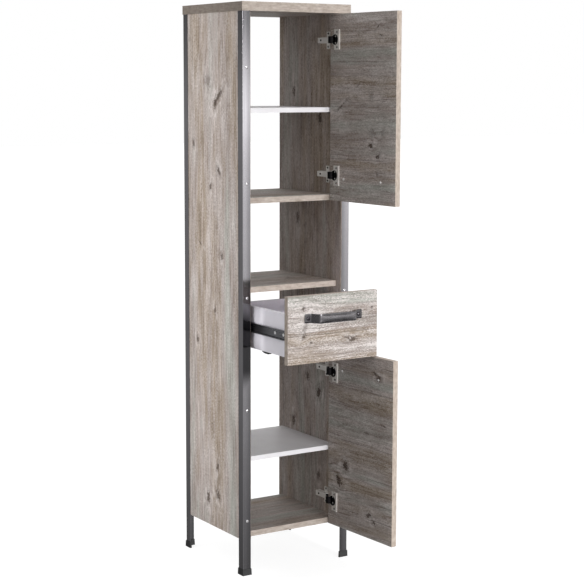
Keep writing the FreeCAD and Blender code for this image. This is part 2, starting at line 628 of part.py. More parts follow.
slide_screw = flush_screw("slide_screw", "slide_screw_length")
drawer_screws = []
drawer_side_cuts = {"left": [], "right": []}
for side, sign in SIDES.items():
    outer_points = channel(sign, "0", "slide_outer_depth", half_outer, "slide_gauge", True)
    inner_points = channel(sign, "slide_space - slide_inner_depth", "slide_space", half_inner,
                           "slide_gauge", False)
    cage_points = channel(sign, "slide_gauge + cage_gap", "slide_gauge + cage_gap + cage_depth", half_cage,
                          "cage_gauge", True)
    outer_bar = prism(f"outer_bar_{side}", "XZ_Plane", outer_points,
                      "slide_length", f"-{SLIDE_Y} - slide_length")
    inner_bar = prism(f"inner_bar_{side}", "XZ_Plane", inner_points,
                      "slide_length", f"-{SLIDE_Y} - slide_length")
    strip = prism(f"cage_strip_{side}", "XZ_Plane", cage_points, "cage_length", f"-{CAGE_Y} - cage_length")
    outer_holes = []
    inner_holes = []
    for index, share in enumerate(SLIDE_SCREW_PLACES):
        along = f"{SLIDE_Y} + slide_length * {share}"
        outer_spot = (f"{sign} * ({INNER} - slide_gauge)", along, SLIDE_Z)
        inner_spot = (f"{sign} * ({DRAWER_HALF} + slide_gauge)", along, SLIDE_Z)
        tag = f"{side}_{index}"
        hardware_screws.append(copy_at(f"outer_screw_{tag}", slide_screw, (-sign, 0, 0), *outer_spot))
        drawer_screws.append(copy_at(f"inner_screw_{tag}", slide_screw, (sign, 0, 0), *inner_spot))
        hole_size = ("slide_screw_head + fit_clearance", "slide_gauge")
        outer_holes.append(rod(f"outer_hole_{tag}", (sign, 0, 0), *outer_spot, *hole_size))
        inner_holes.append(rod(f"inner_hole_{tag}", (-sign, 0, 0), *inner_spot, *hole_size))
        pilot = ("screw_radius + fit_clearance", "slide_gauge + slide_screw_length")
        side_cuts[side].append(rod(f"outer_pilot_{tag}", (sign, 0, 0), *outer_spot, *pilot))
        drawer_side_cuts[side].append(rod(f"inner_pilot_{tag}", (-sign, 0, 0), *inner_spot, *pilot))
    node(f"slide_outer_{side}", cut(f"outer_{side}", outer_bar, outer_holes))
    node(f"slide_inner_{side}", pull(cut(f"inner_{side}", inner_bar, inner_holes)))
    balls = []
    for track in (-1, 1):
        for index in range(BALLS_PER_TRACK):
            ball = doc.addObject("Part::Sphere", f"ball_{side}_{track}_{index}")
            bind(ball, "Radius", f"{BALL_GAP} / 2 - ball_clearance")
            spread = f"ball_pitch * {index - (BALLS_PER_TRACK - 1) / 2}"
            locate(ball, f"{sign} * ({INNER} - slide_gauge - cage_gap - cage_depth * 0.6)",
                   f"{CAGE_Y} + cage_length / 2 + {spread}", f"{SLIDE_Z} + {track} * {BALL_Z}")
            balls.append(ball)
    node(f"slide_ball_cage_{side}", half_pull(fuse(f"cage_{side}", [strip] + balls)))
node("hardware_screws", group("hardware_screws", hardware_screws))
node("drawer_slide_screws", pull(group("drawer_slide_screws", drawer_screws)))

# Boards of the carcass
top_blank = box("top_blank", f"-{HALF_WIDTH} - top_overhang", f"{FRAME_FRONT} - top_overhang", UNDER_TOP,
                "frame_width + 2 * top_overhang", "frame_depth + 2 * top_overhang", "top_thickness")
node("top_panel", cut("top", top_blank, top_holes))
for side, sign in SIDES.items():
    near = INNER if sign > 0 else f"-{INNER} - side_thickness"
    board = box(f"side_blank_{side}", near, f"{FRAME_FRONT} + post_gauge", "side_bottom", "side_thickness",
                "frame_depth - 2 * post_gauge", f"{UNDER_TOP} - side_bottom")
    node(f"side_panel_{side}", cut(f"side_{side}", board, side_cuts[side]))
for shelf, top in FIXED_SHELVES.items():
    board = box(f"{shelf}_blank", f"-{INNER}", SHELF_FRONT, f"{top} - shelf_thickness", f"2 * {INNER}",
                f"{SHELF_BACK} - {SHELF_FRONT}", "shelf_thickness")
    node(shelf, cut(f"{shelf}_cut", board, shelf_cuts[shelf]))
for shelf, top in LOOSE_SHELVES.items():
    front = f"({FRAME_FRONT} + loose_shelf_recess)"
    node(shelf, box(f"{shelf}_board", f"loose_shelf_gap - {INNER}", front, f"{top} - loose_shelf_thickness",
                    f"2 * ({INNER} - loose_shelf_gap)", f"{SHELF_BACK} - {front}", "loose_shelf_thickness"))

# One bow handle: a strap bent to two flat feet, held by two bolts
bolt_x = f"({FRONT_HALF} - handle_side_margin)"
foot_end = f"({bolt_x} + handle_foot / 2)"
foot_start = f"({bolt_x} - handle_foot / 2)"
bow_end = f"({foot_start} - handle_leg_run)"
near_y = "-handle_gauge"
far_y = "-handle_standoff"
far_inner_y = "(handle_gauge - handle_standoff)"
right_run = [(bow_end, far_y), (foot_start, near_y), (foot_end, near_y), (foot_end, "0"),
             (f"{foot_start} - handle_gauge", "0"), (f"{bow_end} - handle_gauge", far_inner_y)]
left_run = [(f"-({x})", y) for x, y in reversed(right_run)]
strap_blank = prism("strap_blank", "XY_Plane", right_run + left_run, "handle_height", "-handle_height / 2")
bow_y = sheet.get("handle_gauge") * 1.5 - sheet.get("handle_standoff")
strap_bent = round_edges("strap_bent", strap_blank, "handle_bend_radius", lambda spot: spot.y < bow_y)
bolt_spots = [(f"{way} * {bolt_x}", near_y, "0") for way in (-1, 1)]
strap_holes = [rod(f"strap_hole_{index}", (0, 1, 0), *spot, "bolt_radius + bolt_clearance", "handle_gauge")
               for index, spot in enumerate(bolt_spots)]
strap = cut("strap", strap_bent, strap_holes)
bolt_reach = "handle_gauge + front_thickness"
bolt = fuse("bolt", [
    cone("bolt_dome", "0", "bolt_head", "bolt_head * 0.55", "head_height"),
    rod("bolt_shank", (0, 0, -1), "0", "0", "0", "bolt_radius", bolt_reach),
    rod("bolt_end", (0, 0, -1), "0", "0", f"-({bolt_reach})", "bolt_nut", "head_height"),
])

# Doors with their cups, pins and handles, swung open about the pins
for door, bottom in DOOR_BOTTOMS.items():
    board = box(f"{door}_blank", f"-{FRONT_HALF}", FRONT_FACE, bottom,
                f"2 * {FRONT_HALF}", "front_thickness", DOOR_HEIGHT)
    tools = []
    cup_screws = []
    hinge_pins = []
    for index, height in enumerate(HINGE_HEIGHTS[door]):
        tools.append(rod(f"{door}_cup_bore_{index}", (0, -1, 0), CUP_X, FRONT_BACK, height,
                         "cup_radius", "cup_depth"))
        for x, y, z in cup_screw_spots:
            tag = f"{door}_cup_screw_{len(cup_screws)}"
            cup_screws.append(copy_at(tag, cup_screw, (0, 1, 0), x, y, f"{height} + {z}"))
            tools.append(rod(tag + "_hole", (0, -1, 0), x, y, f"{height} + {z}",
                             "screw_radius + fit_clearance", "cup_screw_length"))
        place = "bottom" if index == 0 else "top"
        node(f"{door}_hinge_cup_{place}", swing(group(f"{door}_cup_{index}", [hinge_cup]), z=height))
        hinge_pins.append(copy_at(f"{door}_pin_{index}", hinge_pin, z=height))
    for x, y, z in bolt_spots:
        tools.append(rod(f"{door}_bolt_hole_{len(tools)}", (0, 1, 0), x, FRONT_FACE, HANDLE_HEIGHTS[door],
                         "bolt_radius + bolt_clearance", "front_thickness"))
    node(door, swing(cut(f"{door}_board", board, tools)))
    node(f"{door}_hinge_pins", swing(group(f"{door}_pins", hinge_pins)))
    node(f"{door}_cup_screws", swing(group(f"{door}_cup_screws_set", cup_screws)))

# Drawer box and front, pulled out along the slides
front_tools = [rod(f"drawer_bolt_hole_{index}", (0, 1, 0), x, FRONT_FACE, HANDLE_HEIGHTS["drawer"],
                   "bolt_radius + bolt_clearance", "front_thickness")
               for index, (x, y, z) in enumerate(bolt_spots)]
back_tools = []
drawer_dowels = []
BACK_Y = f"({FRONT_BACK} + drawer_length - drawer_board)"
SIDE_TOP = f"({DRAWER_SIDE_BOTTOM} + {DRAWER_SIDE_HEIGHT})"
dowel_heights = (f"{DRAWER_FLOOR} + drawer_dowel_inset", f"{SIDE_TOP} - drawer_dowel_inset")
for side, sign in SIDES.items():
    for index, height in enumerate(dowel_heights):
        middle_x = f"{sign} * ({DRAWER_HALF} - drawer_board / 2)"
        front_spot = (middle_x, f"{FRONT_BACK} - drawer_dowel_seat", height)
        back_spot = (f"{sign} * ({DRAWER_HALF} - drawer_board + drawer_dowel_seat)",
                     f"{BACK_Y} + drawer_board / 2", height)
        for tag, way, spot, tools in ((f"front_{side}_{index}", (0, 1, 0), front_spot, front_tools),
                                      (f"back_{side}_{index}", (-sign, 0, 0), back_spot, back_tools)):
            drawer_dowels.append(rod(f"drawer_dowel_{tag}", way, *spot,
                                     "drawer_dowel_radius", "drawer_dowel_length"))
            hole = rod(f"drawer_dowel_hole_{tag}", way, *spot, "drawer_dowel_radius + fit_clearance",
                       "drawer_dowel_length")
            tools.append(hole)
            drawer_side_cuts[side].append(hole)
node("drawer_dowels", pull(group("drawer_dowels", drawer_dowels)))
front_board = box("drawer_front_blank", f"-{FRONT_HALF}", FRONT_FACE, DRAWER_FRONT_BOTTOM,
                  f"2 * {FRONT_HALF}", "front_thickness", "drawer_front_height")
node("drawer_front", pull(cut("drawer_front_cut", front_board, front_tools)))
groove_reach = f"({DRAWER_HALF} - drawer_board + drawer_groove_depth)"
groove = box("drawer_groove", f"-{groove_reach}", FRONT_BACK, DRAWER_FLOOR,
             f"2 * {groove_reach}", "drawer_length", "drawer_bottom_gauge")
CLIP_Y = f"({FRONT_BACK} + drawer_clip_setback)"
clip_points = [(CLIP_Y, DRAWER_SIDE_BOTTOM), (CLIP_Y, f"{DRAWER_SIDE_BOTTOM} - drawer_clip_height"),
               (f"{CLIP_Y} + drawer_clip_length / 2", f"{DRAWER_SIDE_BOTTOM} - drawer_clip_height"),
               (f"{CLIP_Y} + drawer_clip_length", f"{DRAWER_SIDE_BOTTOM} - drawer_clip_height / 2"),
               (f"{CLIP_Y} + drawer_clip_length", DRAWER_SIDE_BOTTOM)]
clips = []
for side, sign in SIDES.items():
    near = f"{DRAWER_HALF} - drawer_board" if sign > 0 else f"-{DRAWER_HALF}"
    board = box(f"drawer_side_blank_{side}", near, FRONT_BACK, DRAWER_SIDE_BOTTOM,
                "drawer_board", "drawer_length", DRAWER_SIDE_HEIGHT)
    board_cut = cut(f"drawer_side_cut_{side}", board, [groove] + drawer_side_cuts[side])
    node(f"drawer_side_{side}", pull(board_cut))
    clips.append(prism(f"drawer_clip_{side}", "YZ_Plane", clip_points, "drawer_board", near))
node("drawer_clips", pull(group("drawer_clips", clips)))
back_bottom = f"({DRAWER_FLOOR} + drawer_bottom_gauge)"
back_board = box("drawer_back_board", f"drawer_board - {DRAWER_HALF}", BACK_Y, back_bottom,
                 f"2 * ({DRAWER_HALF} - drawer_board)", "drawer_board", f"{SIDE_TOP} - {back_bottom}")
node("drawer_back", pull(cut("drawer_back_cut", back_board, back_tools)))
node("drawer_bottom", pull(group("drawer_bottom", [
    box("drawer_bottom_board", f"fit_clearance - {groove_reach}", FRONT_BACK, DRAWER_FLOOR,
        f"2 * ({groove_reach} - fit_clearance)", "drawer_length", "drawer_bottom_gauge")])))

# Three handles, on the two doors and on the drawer front
for front, height in HANDLE_HEIGHTS.items():
    move = pull if front == "drawer" else swing
    node(f"{front}_handle", move(group(f"{front}_strap", [strap]), "0", FRONT_FACE, height))
    bolts = [copy_at(f"{front}_bolt_{index}", bolt, (0, -1, 0), *spot)
             for index, spot in enumerate(bolt_spots)]
    node(f"{front}_handle_bolts", move(group(f"{front}_bolts", bolts), "0", FRONT_FACE, height))

doc.recompute()
for thing in doc.Objects:
    if "Invalid" in thing.State or "Error" in thing.State:
        raise RuntimeError(f"{thing.Label} did not compute: {thing.State}")
for label, thing in nodes.items():
    if thing.Shape.isNull() or not thing.Shape.isValid() or not thing.Shape.Solids:
        raise RuntimeError(f"{label} has no sound shape")

os.makedirs("parts", exist_ok=True)
for label, thing in nodes.items():
    thing.Shape.exportStep(f"parts/{label}.step")
print(len(nodes), "nodes written")
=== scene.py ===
# %% [markdown]
# # A tall cabinet with an angle-steel frame
# The cabinet's solids come from CAD. They stand in one fixed frame, in metres, with the floor at zero
# height, the front towards minus Y and the width along X. In this lesson the solids get their finishes,
# a few small fittings are modelled by hand, and a camera and a soft studio are set up round them.

# %% Load the frame
import math

import bmesh
import bpy
from mathutils import Matrix, Vector


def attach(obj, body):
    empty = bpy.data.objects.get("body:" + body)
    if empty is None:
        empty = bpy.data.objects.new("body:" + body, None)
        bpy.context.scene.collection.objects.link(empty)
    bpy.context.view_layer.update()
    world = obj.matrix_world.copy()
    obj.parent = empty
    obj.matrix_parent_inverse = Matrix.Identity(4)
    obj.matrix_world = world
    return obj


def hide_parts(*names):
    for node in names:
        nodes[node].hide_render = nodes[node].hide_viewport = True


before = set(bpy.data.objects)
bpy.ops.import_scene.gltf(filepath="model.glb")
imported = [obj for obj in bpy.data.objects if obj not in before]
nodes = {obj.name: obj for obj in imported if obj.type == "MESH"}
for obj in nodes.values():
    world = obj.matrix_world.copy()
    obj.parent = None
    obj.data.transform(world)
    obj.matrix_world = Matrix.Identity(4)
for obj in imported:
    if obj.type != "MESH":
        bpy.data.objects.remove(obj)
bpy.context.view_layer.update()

# %% [markdown]
# ## The camera
# The camera comes first, so that every later step can be judged in the picture. A long lens stands to the
# left of the cabinet's front, a little higher than the upper white shelf, and looks slightly down. A view
# camera's large shift would keep the upright edges fully upright, but it would also cut the cabinet in
# pictures from other sides, so the camera tilts instead and its shift stays small.

# %% Set the camera
CAMERA_PLACE = (-2.5915, -4.0980, 1.5584)
CAMERA_TURN = math.radians(32.371)
CAMERA_TILT = math.radians(7.194)
CAMERA_ROLL = math.radians(-0.133)
CAMERA_LENS = 94.505
CAMERA_SHIFT = -0.0291

bpy.ops.object.select_all(action="DESELECT")
bpy.ops.object.camera_add(location=CAMERA_PLACE)
camera = bpy.context.object
camera.name = "view_camera"
tilted_view = Matrix.Rotation(-CAMERA_TURN, 4, "Z") @ Matrix.Rotation(math.pi / 2 - CAMERA_TILT, 4, "X")
camera.rotation_euler = (tilted_view @ Matrix.Rotation(-CAMERA_ROLL, 4, "Z")).to_euler()
camera.data.sensor_width = 36.0
camera.data.lens = CAMERA_LENS
camera.data.shift_y = CAMERA_SHIFT
bpy.context.scene.camera = camera
print("camera lens", round(camera.data.lens, 2), "mm")

# %% [markdown]
# ## Small helpers for finishes
# A finish is a node tree. Writing each node by hand takes many lines, so a few helpers do the repeated work.
# One turns a colour picked from a screen, with levels from 0 to 255, into the linear numbers that a shader
# takes. One starts a material, and one adds a node and plugs its inputs. The next four are nodes that come up
# again and again: sums, soft steps, layers of colour and noise drawn out along a direction. The last one puts
# a finish on the solids.

# %% Helpers for node trees
def paint(red, green, blue):
    levels = []
    for level in (red / 255.0, green / 255.0, blue / 255.0):
        levels.append(level / 12.92 if level <= 0.04045 else ((level + 0.055) / 1.055) ** 2.4)
    return (*levels, 1.0)


def start_finish(name):
    material = bpy.data.materials.new(name)
    material.use_nodes = True
    return material, material.node_tree, material.node_tree.nodes["Principled BSDF"]


def add(tree, kind, plugs=None, **settings):
    node = tree.nodes.new(kind)
    for word, value in settings.items():
        setattr(node, word, value)
    for plug, value in (plugs or {}).items():
        if isinstance(value, bpy.types.NodeSocket):
            tree.links.new(value, node.inputs[plug])
        else:
            node.inputs[plug].default_value = value
    return node


def work(tree, operation, first, second=0.0):
    return add(tree, "ShaderNodeMath", {0: first, 1: second}, operation=operation).outputs[0]


def ease(tree, value, low, high, least=0.0, most=1.0):
    plugs = {"Value": value, "From Min": low, "From Max": high, "To Min": least, "To Max": most}
    return add(tree, "ShaderNodeMapRange", plugs, interpolation_type="SMOOTHSTEP").outputs["Result"]


def layer(tree, amount, under, over, kind="MIX"):
    plugs = {0: amount, 6: under, 7: over}
    return add(tree, "ShaderNodeMix", plugs, data_type="RGBA", blend_type=kind).outputs[2]


def drawn_noise(tree, place, lines, detail=2.0, rough=0.5):
    drawn = add(tree, "ShaderNodeVectorMath", {0: place, 1: lines}, operation="MULTIPLY").outputs[0]
    plugs = {"Vector": drawn, "Scale": 1.0, "Detail": detail, "Roughness": rough}
    return add(tree, "ShaderNodeTexNoise", plugs).outputs[0]


def dress(material, *names):
    for name in names:
        for slot in nodes[name].material_slots:
            slot.material = material
    print(material.name, "on", len(names), "nodes")


# %% [markdown]
# ## The studio
# A plain white room: the world gives soft light from all sides, one wide sun lights the front, a weaker one
# comes from above, and a floor catches the shadow. What the camera sees of the world is white, and
# polished steel mirrors the same white. White alone would leave the steel flat, so two things more hang in
# what it mirrors: a lamp's glow at eye level to the front right that fades downwards, and a dim wall to the
# left. Both are written as pairs of a height in the room and a strength.

# %% The world and its reflections
FRONT_GLOW = (
    (-0.372, 0.20), (-0.322, 0.26), (-0.260, 0.56), (-0.204, 0.96), (-0.136, 1.48),
    (-0.083, 1.88), (-0.046, 2.24), (-0.031, 3.20), (-0.018, 5.60), (0.001, 3.40),
    (0.017, 2.30), (0.029, 1.20), (0.042, 0.36), (0.094, 0.40), (0.56, 1.60),
)
LEFT_WALL = (
    (-0.372, 0.12), (-0.322, 0.16), (-0.260, 0.30), (-0.204, 0.42), (-0.056, 0.48), (-0.018, 0.56),
    (0.005, 0.46), (0.029, 0.30), (0.042, 0.20), (0.094, 0.22), (0.56, 1.00),
)
BRIGHTEST = 5.6
LOWEST = -0.5
HIGHEST = 0.7
GLOW_WAY = (0.535, -0.845, 0.0)
WALL_WAY = (-0.75, 0.66, 0.0)
WHITE = 1.0
SOFT_LIGHT = 0.41


def set_marks(ramp, marks):
    elements = ramp.color_ramp.elements
    while len(elements) < len(marks):
        elements.new(0.5)
    for element, (spot, colour) in zip(elements, marks):
        element.position = spot
        element.color = colour
    return ramp.outputs[0]


def height_ramp(tree, height, levels):
    span = HIGHEST - LOWEST
    plugs = {"Value": height, "From Min": LOWEST, "From Max": HIGHEST}
    share = add(tree, "ShaderNodeMapRange", plugs).outputs["Result"]
    marks = []
    for spot, glow in levels:
        grey = glow / BRIGHTEST
        marks.append(((spot - LOWEST) / span, (grey, grey, grey, 1.0)))
    ramp = add(tree, "ShaderNodeValToRGB", {0: share})
    return work(tree, "MULTIPLY", set_marks(ramp, marks), BRIGHTEST)


def blend(tree, share, first, second):
    return add(tree, "ShaderNodeMix", {0: share, 2: first, 3: second}).outputs[0]


def make_world():
    world = bpy.data.worlds.new("white_room")
    world.use_nodes = True
    tree = world.node_tree
    background = tree.nodes["Background"]
    background.inputs["Color"].default_value = (1.0, 1.0, 1.0, 1.0)
    path = add(tree, "ShaderNodeLightPath")
    heading = add(tree, "ShaderNodeTexCoord").outputs["Generated"]
    heads = add(tree, "ShaderNodeSeparateXYZ", {0: heading}).outputs
    glow = height_ramp(tree, heads[2], FRONT_GLOW)
    wall = height_ramp(tree, heads[2], LEFT_WALL)
    mirrored = WHITE
    for way, level, start, full in ((GLOW_WAY, glow, 0.60, 0.85), (WALL_WAY, wall, 0.45, 0.75)):
        ways = {0: heading, 1: way}
        near = add(tree, "ShaderNodeVectorMath", ways, operation="DOT_PRODUCT").outputs["Value"]
        mirrored = blend(tree, ease(tree, near, start, full), mirrored, level)
    seen = work(tree, "MAXIMUM", path.outputs["Is Camera Ray"], path.outputs["Is Transmission Ray"])
    soft = blend(tree, path.outputs["Is Glossy Ray"], SOFT_LIGHT, mirrored)
    tree.links.new(blend(tree, seen, soft, WHITE), background.inputs["Strength"])
    bpy.context.scene.world = world


make_world()
print("world", bpy.context.scene.world.name)

# %% [markdown]
# ## Lamps and floor
# Both suns are broad, so their shadows are soft. A tall strip lamp at the left, near the back, lights the
# left side. Two short strips serve the drawer: one lights the part of its side that the tall one leaves in
# shadow, the other its inside from above. No strip is mirrored in the steel. The floor is a dark grey to the
# lamps, which keeps light from pouring up into the lower compartments, and glows white to the camera alone,
# so only the cabinet's soft shadow is left on it. A sun is written as a place, a direction, a strength and
# an angle, and a strip as a place, a direction, a power in watts, a width, a height and its cone's angle.

# %% Lamps and floor
def aim(lamp, name, energy, toward):
    lamp.name = name
    lamp.data.energy = energy
    lamp.rotation_euler = Vector(toward).to_track_quat("-Z", "Y").to_euler()


SUNS = (
    ("front_sun", (0.0, -3.0, 2.0), (-0.06, 0.98, -0.14), 2.15, 12.0),
    ("top_sun", (0.0, -1.0, 3.0), (0.03, 0.06, -1.0), 1.0, 16.0),
)
for name, spot, toward, energy, width in SUNS:
    bpy.ops.object.light_add(type="SUN", location=spot)
    aim(bpy.context.object, name, energy, toward)
    bpy.context.object.data.angle = math.radians(width)

STRIPS = (
    ("side_strip", (-0.60, 0.31, 0.95), (0.77, -0.64, 0.0), 4.8, 0.10, 2.4, 180.0),
    ("drawer_side_strip", (-0.55, -0.16, 0.795), (0.97, 0.25, 0.0), 0.0125, 0.04, 0.14, 12.0),
    ("drawer_top_strip", (0.0, -0.14, 1.12), (0.0, 0.0, -1.0), 0.09, 0.16, 0.10, 12.0),
)
for name, spot, toward, energy, wide, tall, cone in STRIPS:
    bpy.ops.object.light_add(type="AREA", location=spot)
    strip = bpy.context.object
    aim(strip, name, energy, toward)
    strip.data.shape = "RECTANGLE"
    strip.data.size = wide
    strip.data.size_y = tall
    strip.data.spread = math.radians(cone)
    strip.visible_camera = False
    strip.visible_glossy = False

FLOOR_GLOW = 0.88
bpy.ops.mesh.primitive_plane_add(size=60.0)
floor = bpy.context.object
floor.name = "floor"
floor_finish, tree, shader = start_finish("floor_white")
shader.inputs["Roughness"].default_value = 0.9
patch = add(tree, "ShaderNodeTexNoise", {"Scale": 0.7, "Detail": 1.0})
floor_shade = layer(tree, patch.outputs[0], (0.20, 0.20, 0.20, 1.0), (0.23, 0.23, 0.23, 1.0))
tree.links.new(floor_shade, shader.inputs["Base Color"])
shader.inputs["Emission Color"].default_value = (1.0, 1.0, 1.0, 1.0)
camera_ray = add(tree, "ShaderNodeLightPath").outputs["Is Camera Ray"]
tree.links.new(work(tree, "MULTIPLY", camera_ray, FLOOR_GLOW), shader.inputs["Emission Strength"])
floor.data.materials.append(floor_finish)
floor.visible_glossy = False
bpy.context.scene.view_settings.view_transform = "Standard"
print("lamps and floor are set")

# %% [markdown]
# ## Weathered pine decor
# The boards carry a printed decor of old grey pine. It could be painted as an image, but noise drawn out
# along the grain gives every board its own figure and stays sharp at any distance. Three sizes of streak
# are added up: hair-fine lines, streaks of a few millimetres and broad plank tones, the pale ones cooler
# than the dark ones. Specks and ripples break them up, and cloudy pale patches are the worn whitewash. A knot
# is a group of its own: it darkens a ragged core, draws rings round it and pushes the streaks aside, as the
# grain flows round a branch.

# %% A knot in the grain
def make_knot_group():
    group = bpy.data.node_groups.new("knot", "ShaderNodeTree")
    for word, kind in (("Place", "Vector"), ("Centre", "Vector"), ("Size", "Float"), ("Turn", "Float"),
                       ("Slim", "Float"), ("Dark", "Float")):
        group.interface.new_socket(word, in_out="INPUT", socket_type="NodeSocket" + kind)
    for word in ("Core", "Rings", "Push", "Halo"):
        group.interface.new_socket(word, in_out="OUTPUT", socket_type="NodeSocketFloat")
    given = group.nodes.new("NodeGroupInput").outputs
    result = group.nodes.new("NodeGroupOutput").inputs
    ends = {0: given["Place"], 1: given["Centre"]}
    away = add(group, "ShaderNodeVectorMath", ends, operation="SUBTRACT").outputs[0]
    swing = {"Vector": away, "Angle": given["Turn"]}
    turned = add(group, "ShaderNodeVectorRotate", swing, rotation_type="Z_AXIS")
    shape = add(group, "ShaderNodeCombineXYZ", {0: given["Slim"], 1: 1.0, 2: 1.2}).outputs[0]
    squeeze = {0: turned.outputs[0], 1: shape}
    oval = add(group, "ShaderNodeVectorMath", squeeze, operation="MULTIPLY").outputs[0]
    far = add(group, "ShaderNodeVectorMath", {0: oval}, operation="LENGTH").outputs["Value"]
    ragged = drawn_noise(group, given["Place"], (150.0, 190.0, 150.0), 3.0, 0.68)
    steps = work(group, "DIVIDE", far, given["Size"])
    edge = work(group, "ADD", steps, work(group, "MULTIPLY", work(group, "SUBTRACT", ragged, 0.5), 3.0))
    core = work(group, "MULTIPLY", ease(group, edge, 1.25, 0.35), given["Dark"])
    fall = work(group, "EXPONENT", work(group, "MULTIPLY", work(group, "MULTIPLY", steps, steps), -0.2))
    wave = work(group, "SINE", work(group, "MULTIPLY", edge, 5.5))
    rings = work(group, "MULTIPLY", work(group, "MULTIPLY", ease(group, wave, 0.1, 1.0), fall), given["Dark"])
    across = add(group, "ShaderNodeSeparateXYZ", {0: away}).outputs[1]
    push = work(group, "MULTIPLY", work(group, "MULTIPLY", across, fall), -0.4)
    bare = drawn_noise(group, given["Place"], (26.0, 70.0, 60.0), 4.0, 0.7)
    halo = work(group, "MULTIPLY", ease(group, steps, 4.2, 1.2), ease(group, bare, 0.44, 0.62, 0.0, 0.75))
    halo = work(group, "MULTIPLY", halo, given["Dark"])
    for word, value in (("Core", core), ("Rings", rings), ("Push", push), ("Halo", halo)):
        group.links.new(value, result[word])
    return group


knot_group = make_knot_group()
print("knot group nodes", len(knot_group.nodes))

# %% [markdown]
# ## The decor itself
# The decor group takes a place on the board as three lengths: along the grain, across it and through the
# board's thickness. It answers with a colour and with a height for the fine relief of the print. Boards
# share the group, so one change mends them all.

# %% The pine decor group
PINE_TONES = (
    (0.12, paint(110, 101, 96)),
    (0.34, paint(158, 150, 144)),
    (0.50, paint(182, 175, 170)),
    (0.66, paint(200, 194, 190)),
    (0.90, paint(230, 225, 222)),
)
KNOT_CORE = paint(84, 71, 63)
KNOT_RING = paint(128, 114, 104)
WHITEWASH = paint(236, 229, 226)
SPLIT_SHADE = paint(104, 93, 85)
PLANK_TINTS = ((0.34, paint(255, 244, 230)), (0.50, paint(255, 249, 248)), (0.66, paint(243, 250, 246)))


def tone_ramp(tree, value, tones):
    return set_marks(add(tree, "ShaderNodeValToRGB", {0: value}), tones)


def weighed(tree, *shares):
    total = None
    for value, weight in shares:
        part = work(tree, "MULTIPLY", work(tree, "SUBTRACT", value, 0.5), weight)
        total = part if total is None else work(tree, "ADD", total, part)
    return work(tree, "ADD", total, 0.5)


def make_decor_group():
    group = bpy.data.node_groups.new("pine_decor", "ShaderNodeTree")
    group.interface.new_socket("Place", in_out="INPUT", socket_type="NodeSocketVector")
    for word in ("Core", "Rings", "Push", "Halo", "Seams", "Wash"):
        group.interface.new_socket(word, in_out="INPUT", socket_type="NodeSocketFloat")
    group.interface.new_socket("Colour", in_out="OUTPUT", socket_type="NodeSocketColor")
    group.interface.new_socket("Height", in_out="OUTPUT", socket_type="NodeSocketFloat")
    given = group.nodes.new("NodeGroupInput").outputs
    result = group.nodes.new("NodeGroupOutput").inputs
    sides = add(group, "ShaderNodeSeparateXYZ", {0: given["Place"]}).outputs
    drift = work(group, "MULTIPLY", drawn_noise(group, given["Place"], (2.2, 7.0, 5.0), 2.0), 0.018)
    across = work(group, "ADD", work(group, "ADD", sides[1], given["Push"]), drift)
    flow = add(group, "ShaderNodeCombineXYZ", {0: sides[0], 1: across, 2: sides[2]}).outputs[0]
    hair = drawn_noise(group, flow, (9.0, 620.0, 120.0), 2.0, 0.6)
    streak = drawn_noise(group, flow, (4.0, 110.0, 40.0), 3.0, 0.62)
    plank = drawn_noise(group, flow, (0.9, 15.0, 7.0), 2.0, 0.5)
    cloud = drawn_noise(group, given["Place"], (6.0, 22.0, 12.0), 6.0, 0.68)
    speck = drawn_noise(group, given["Place"], (150.0, 420.0, 300.0), 2.0, 0.7)
    swell = drawn_noise(group, flow, (1.5, 12.0, 8.0), 1.0)
    ripple = work(group, "SINE", work(group, "MULTIPLY", swell, 85.0))
    ripple = ease(group, ripple, 0.2, 1.0, 0.5, 0.28)
    grain = ((hair, 0.62), (streak, 0.32), (plank, 0.34), (cloud, 0.46), (speck, 0.72), (ripple, 0.34))
    colour = tone_ramp(group, weighed(group, *grain), PINE_TONES)
    hue = drawn_noise(group, flow, (1.0, 20.0, 9.0), 3.0, 0.55)
    tint = tone_ramp(group, weighed(group, (hue, 0.5), (plank, 0.8), (cloud, 0.4)), PLANK_TINTS)
    colour = layer(group, 1.0, colour, tint, "MULTIPLY")
    wear = drawn_noise(group, flow, (4.0, 36.0, 16.0), 5.0, 0.64)
    worn = ease(group, weighed(group, (cloud, 0.5), (wear, 0.7), (speck, 0.7), (hair, 0.5)), 0.46, 0.74)
    worn = work(group, "MULTIPLY", worn, given["Wash"])
    worn = work(group, "MAXIMUM", worn, work(group, "MINIMUM", given["Halo"], 0.7))
    colour = layer(group, worn, colour, WHITEWASH)
    split = drawn_noise(group, flow, (4.0, 190.0, 60.0), 1.0, 0.4)
    crack = work(group, "MULTIPLY", ease(group, split, 0.66, 0.76), 0.55)
    seam = work(group, "MULTIPLY", given["Seams"], ease(group, hair, 0.40, 0.58))
    crack = work(group, "MAXIMUM", crack, seam)
    colour = layer(group, crack, colour, SPLIT_SHADE)
    colour = layer(group, work(group, "MULTIPLY", given["Rings"], 0.6), colour, KNOT_RING)
    colour = layer(group, work(group, "MINIMUM", given["Core"], 0.9), colour, KNOT_CORE)
    height = work(group, "SUBTRACT", work(group, "ADD", hair, work(group, "MULTIPLY", streak, 0.6)), crack)
    group.links.new(colour, result["Colour"])
    group.links.new(height, result["Height"])
    return group


decor_group = make_decor_group()
print("decor group nodes", len(decor_group.nodes))

# %% [markdown]
# ## A finish for each board
# Every board has its grain along one axis and is thin along another. A Mapping node turns an open door's
# places back to its closed direction first, because its mesh stands open at rest. A face that doesn't look
# along the thin axis is an edge: it carries a plain glued edge band, with fine lines along its length.
# Knots are written as a centre, a size, a turn in degrees, how slim they are and how dark.

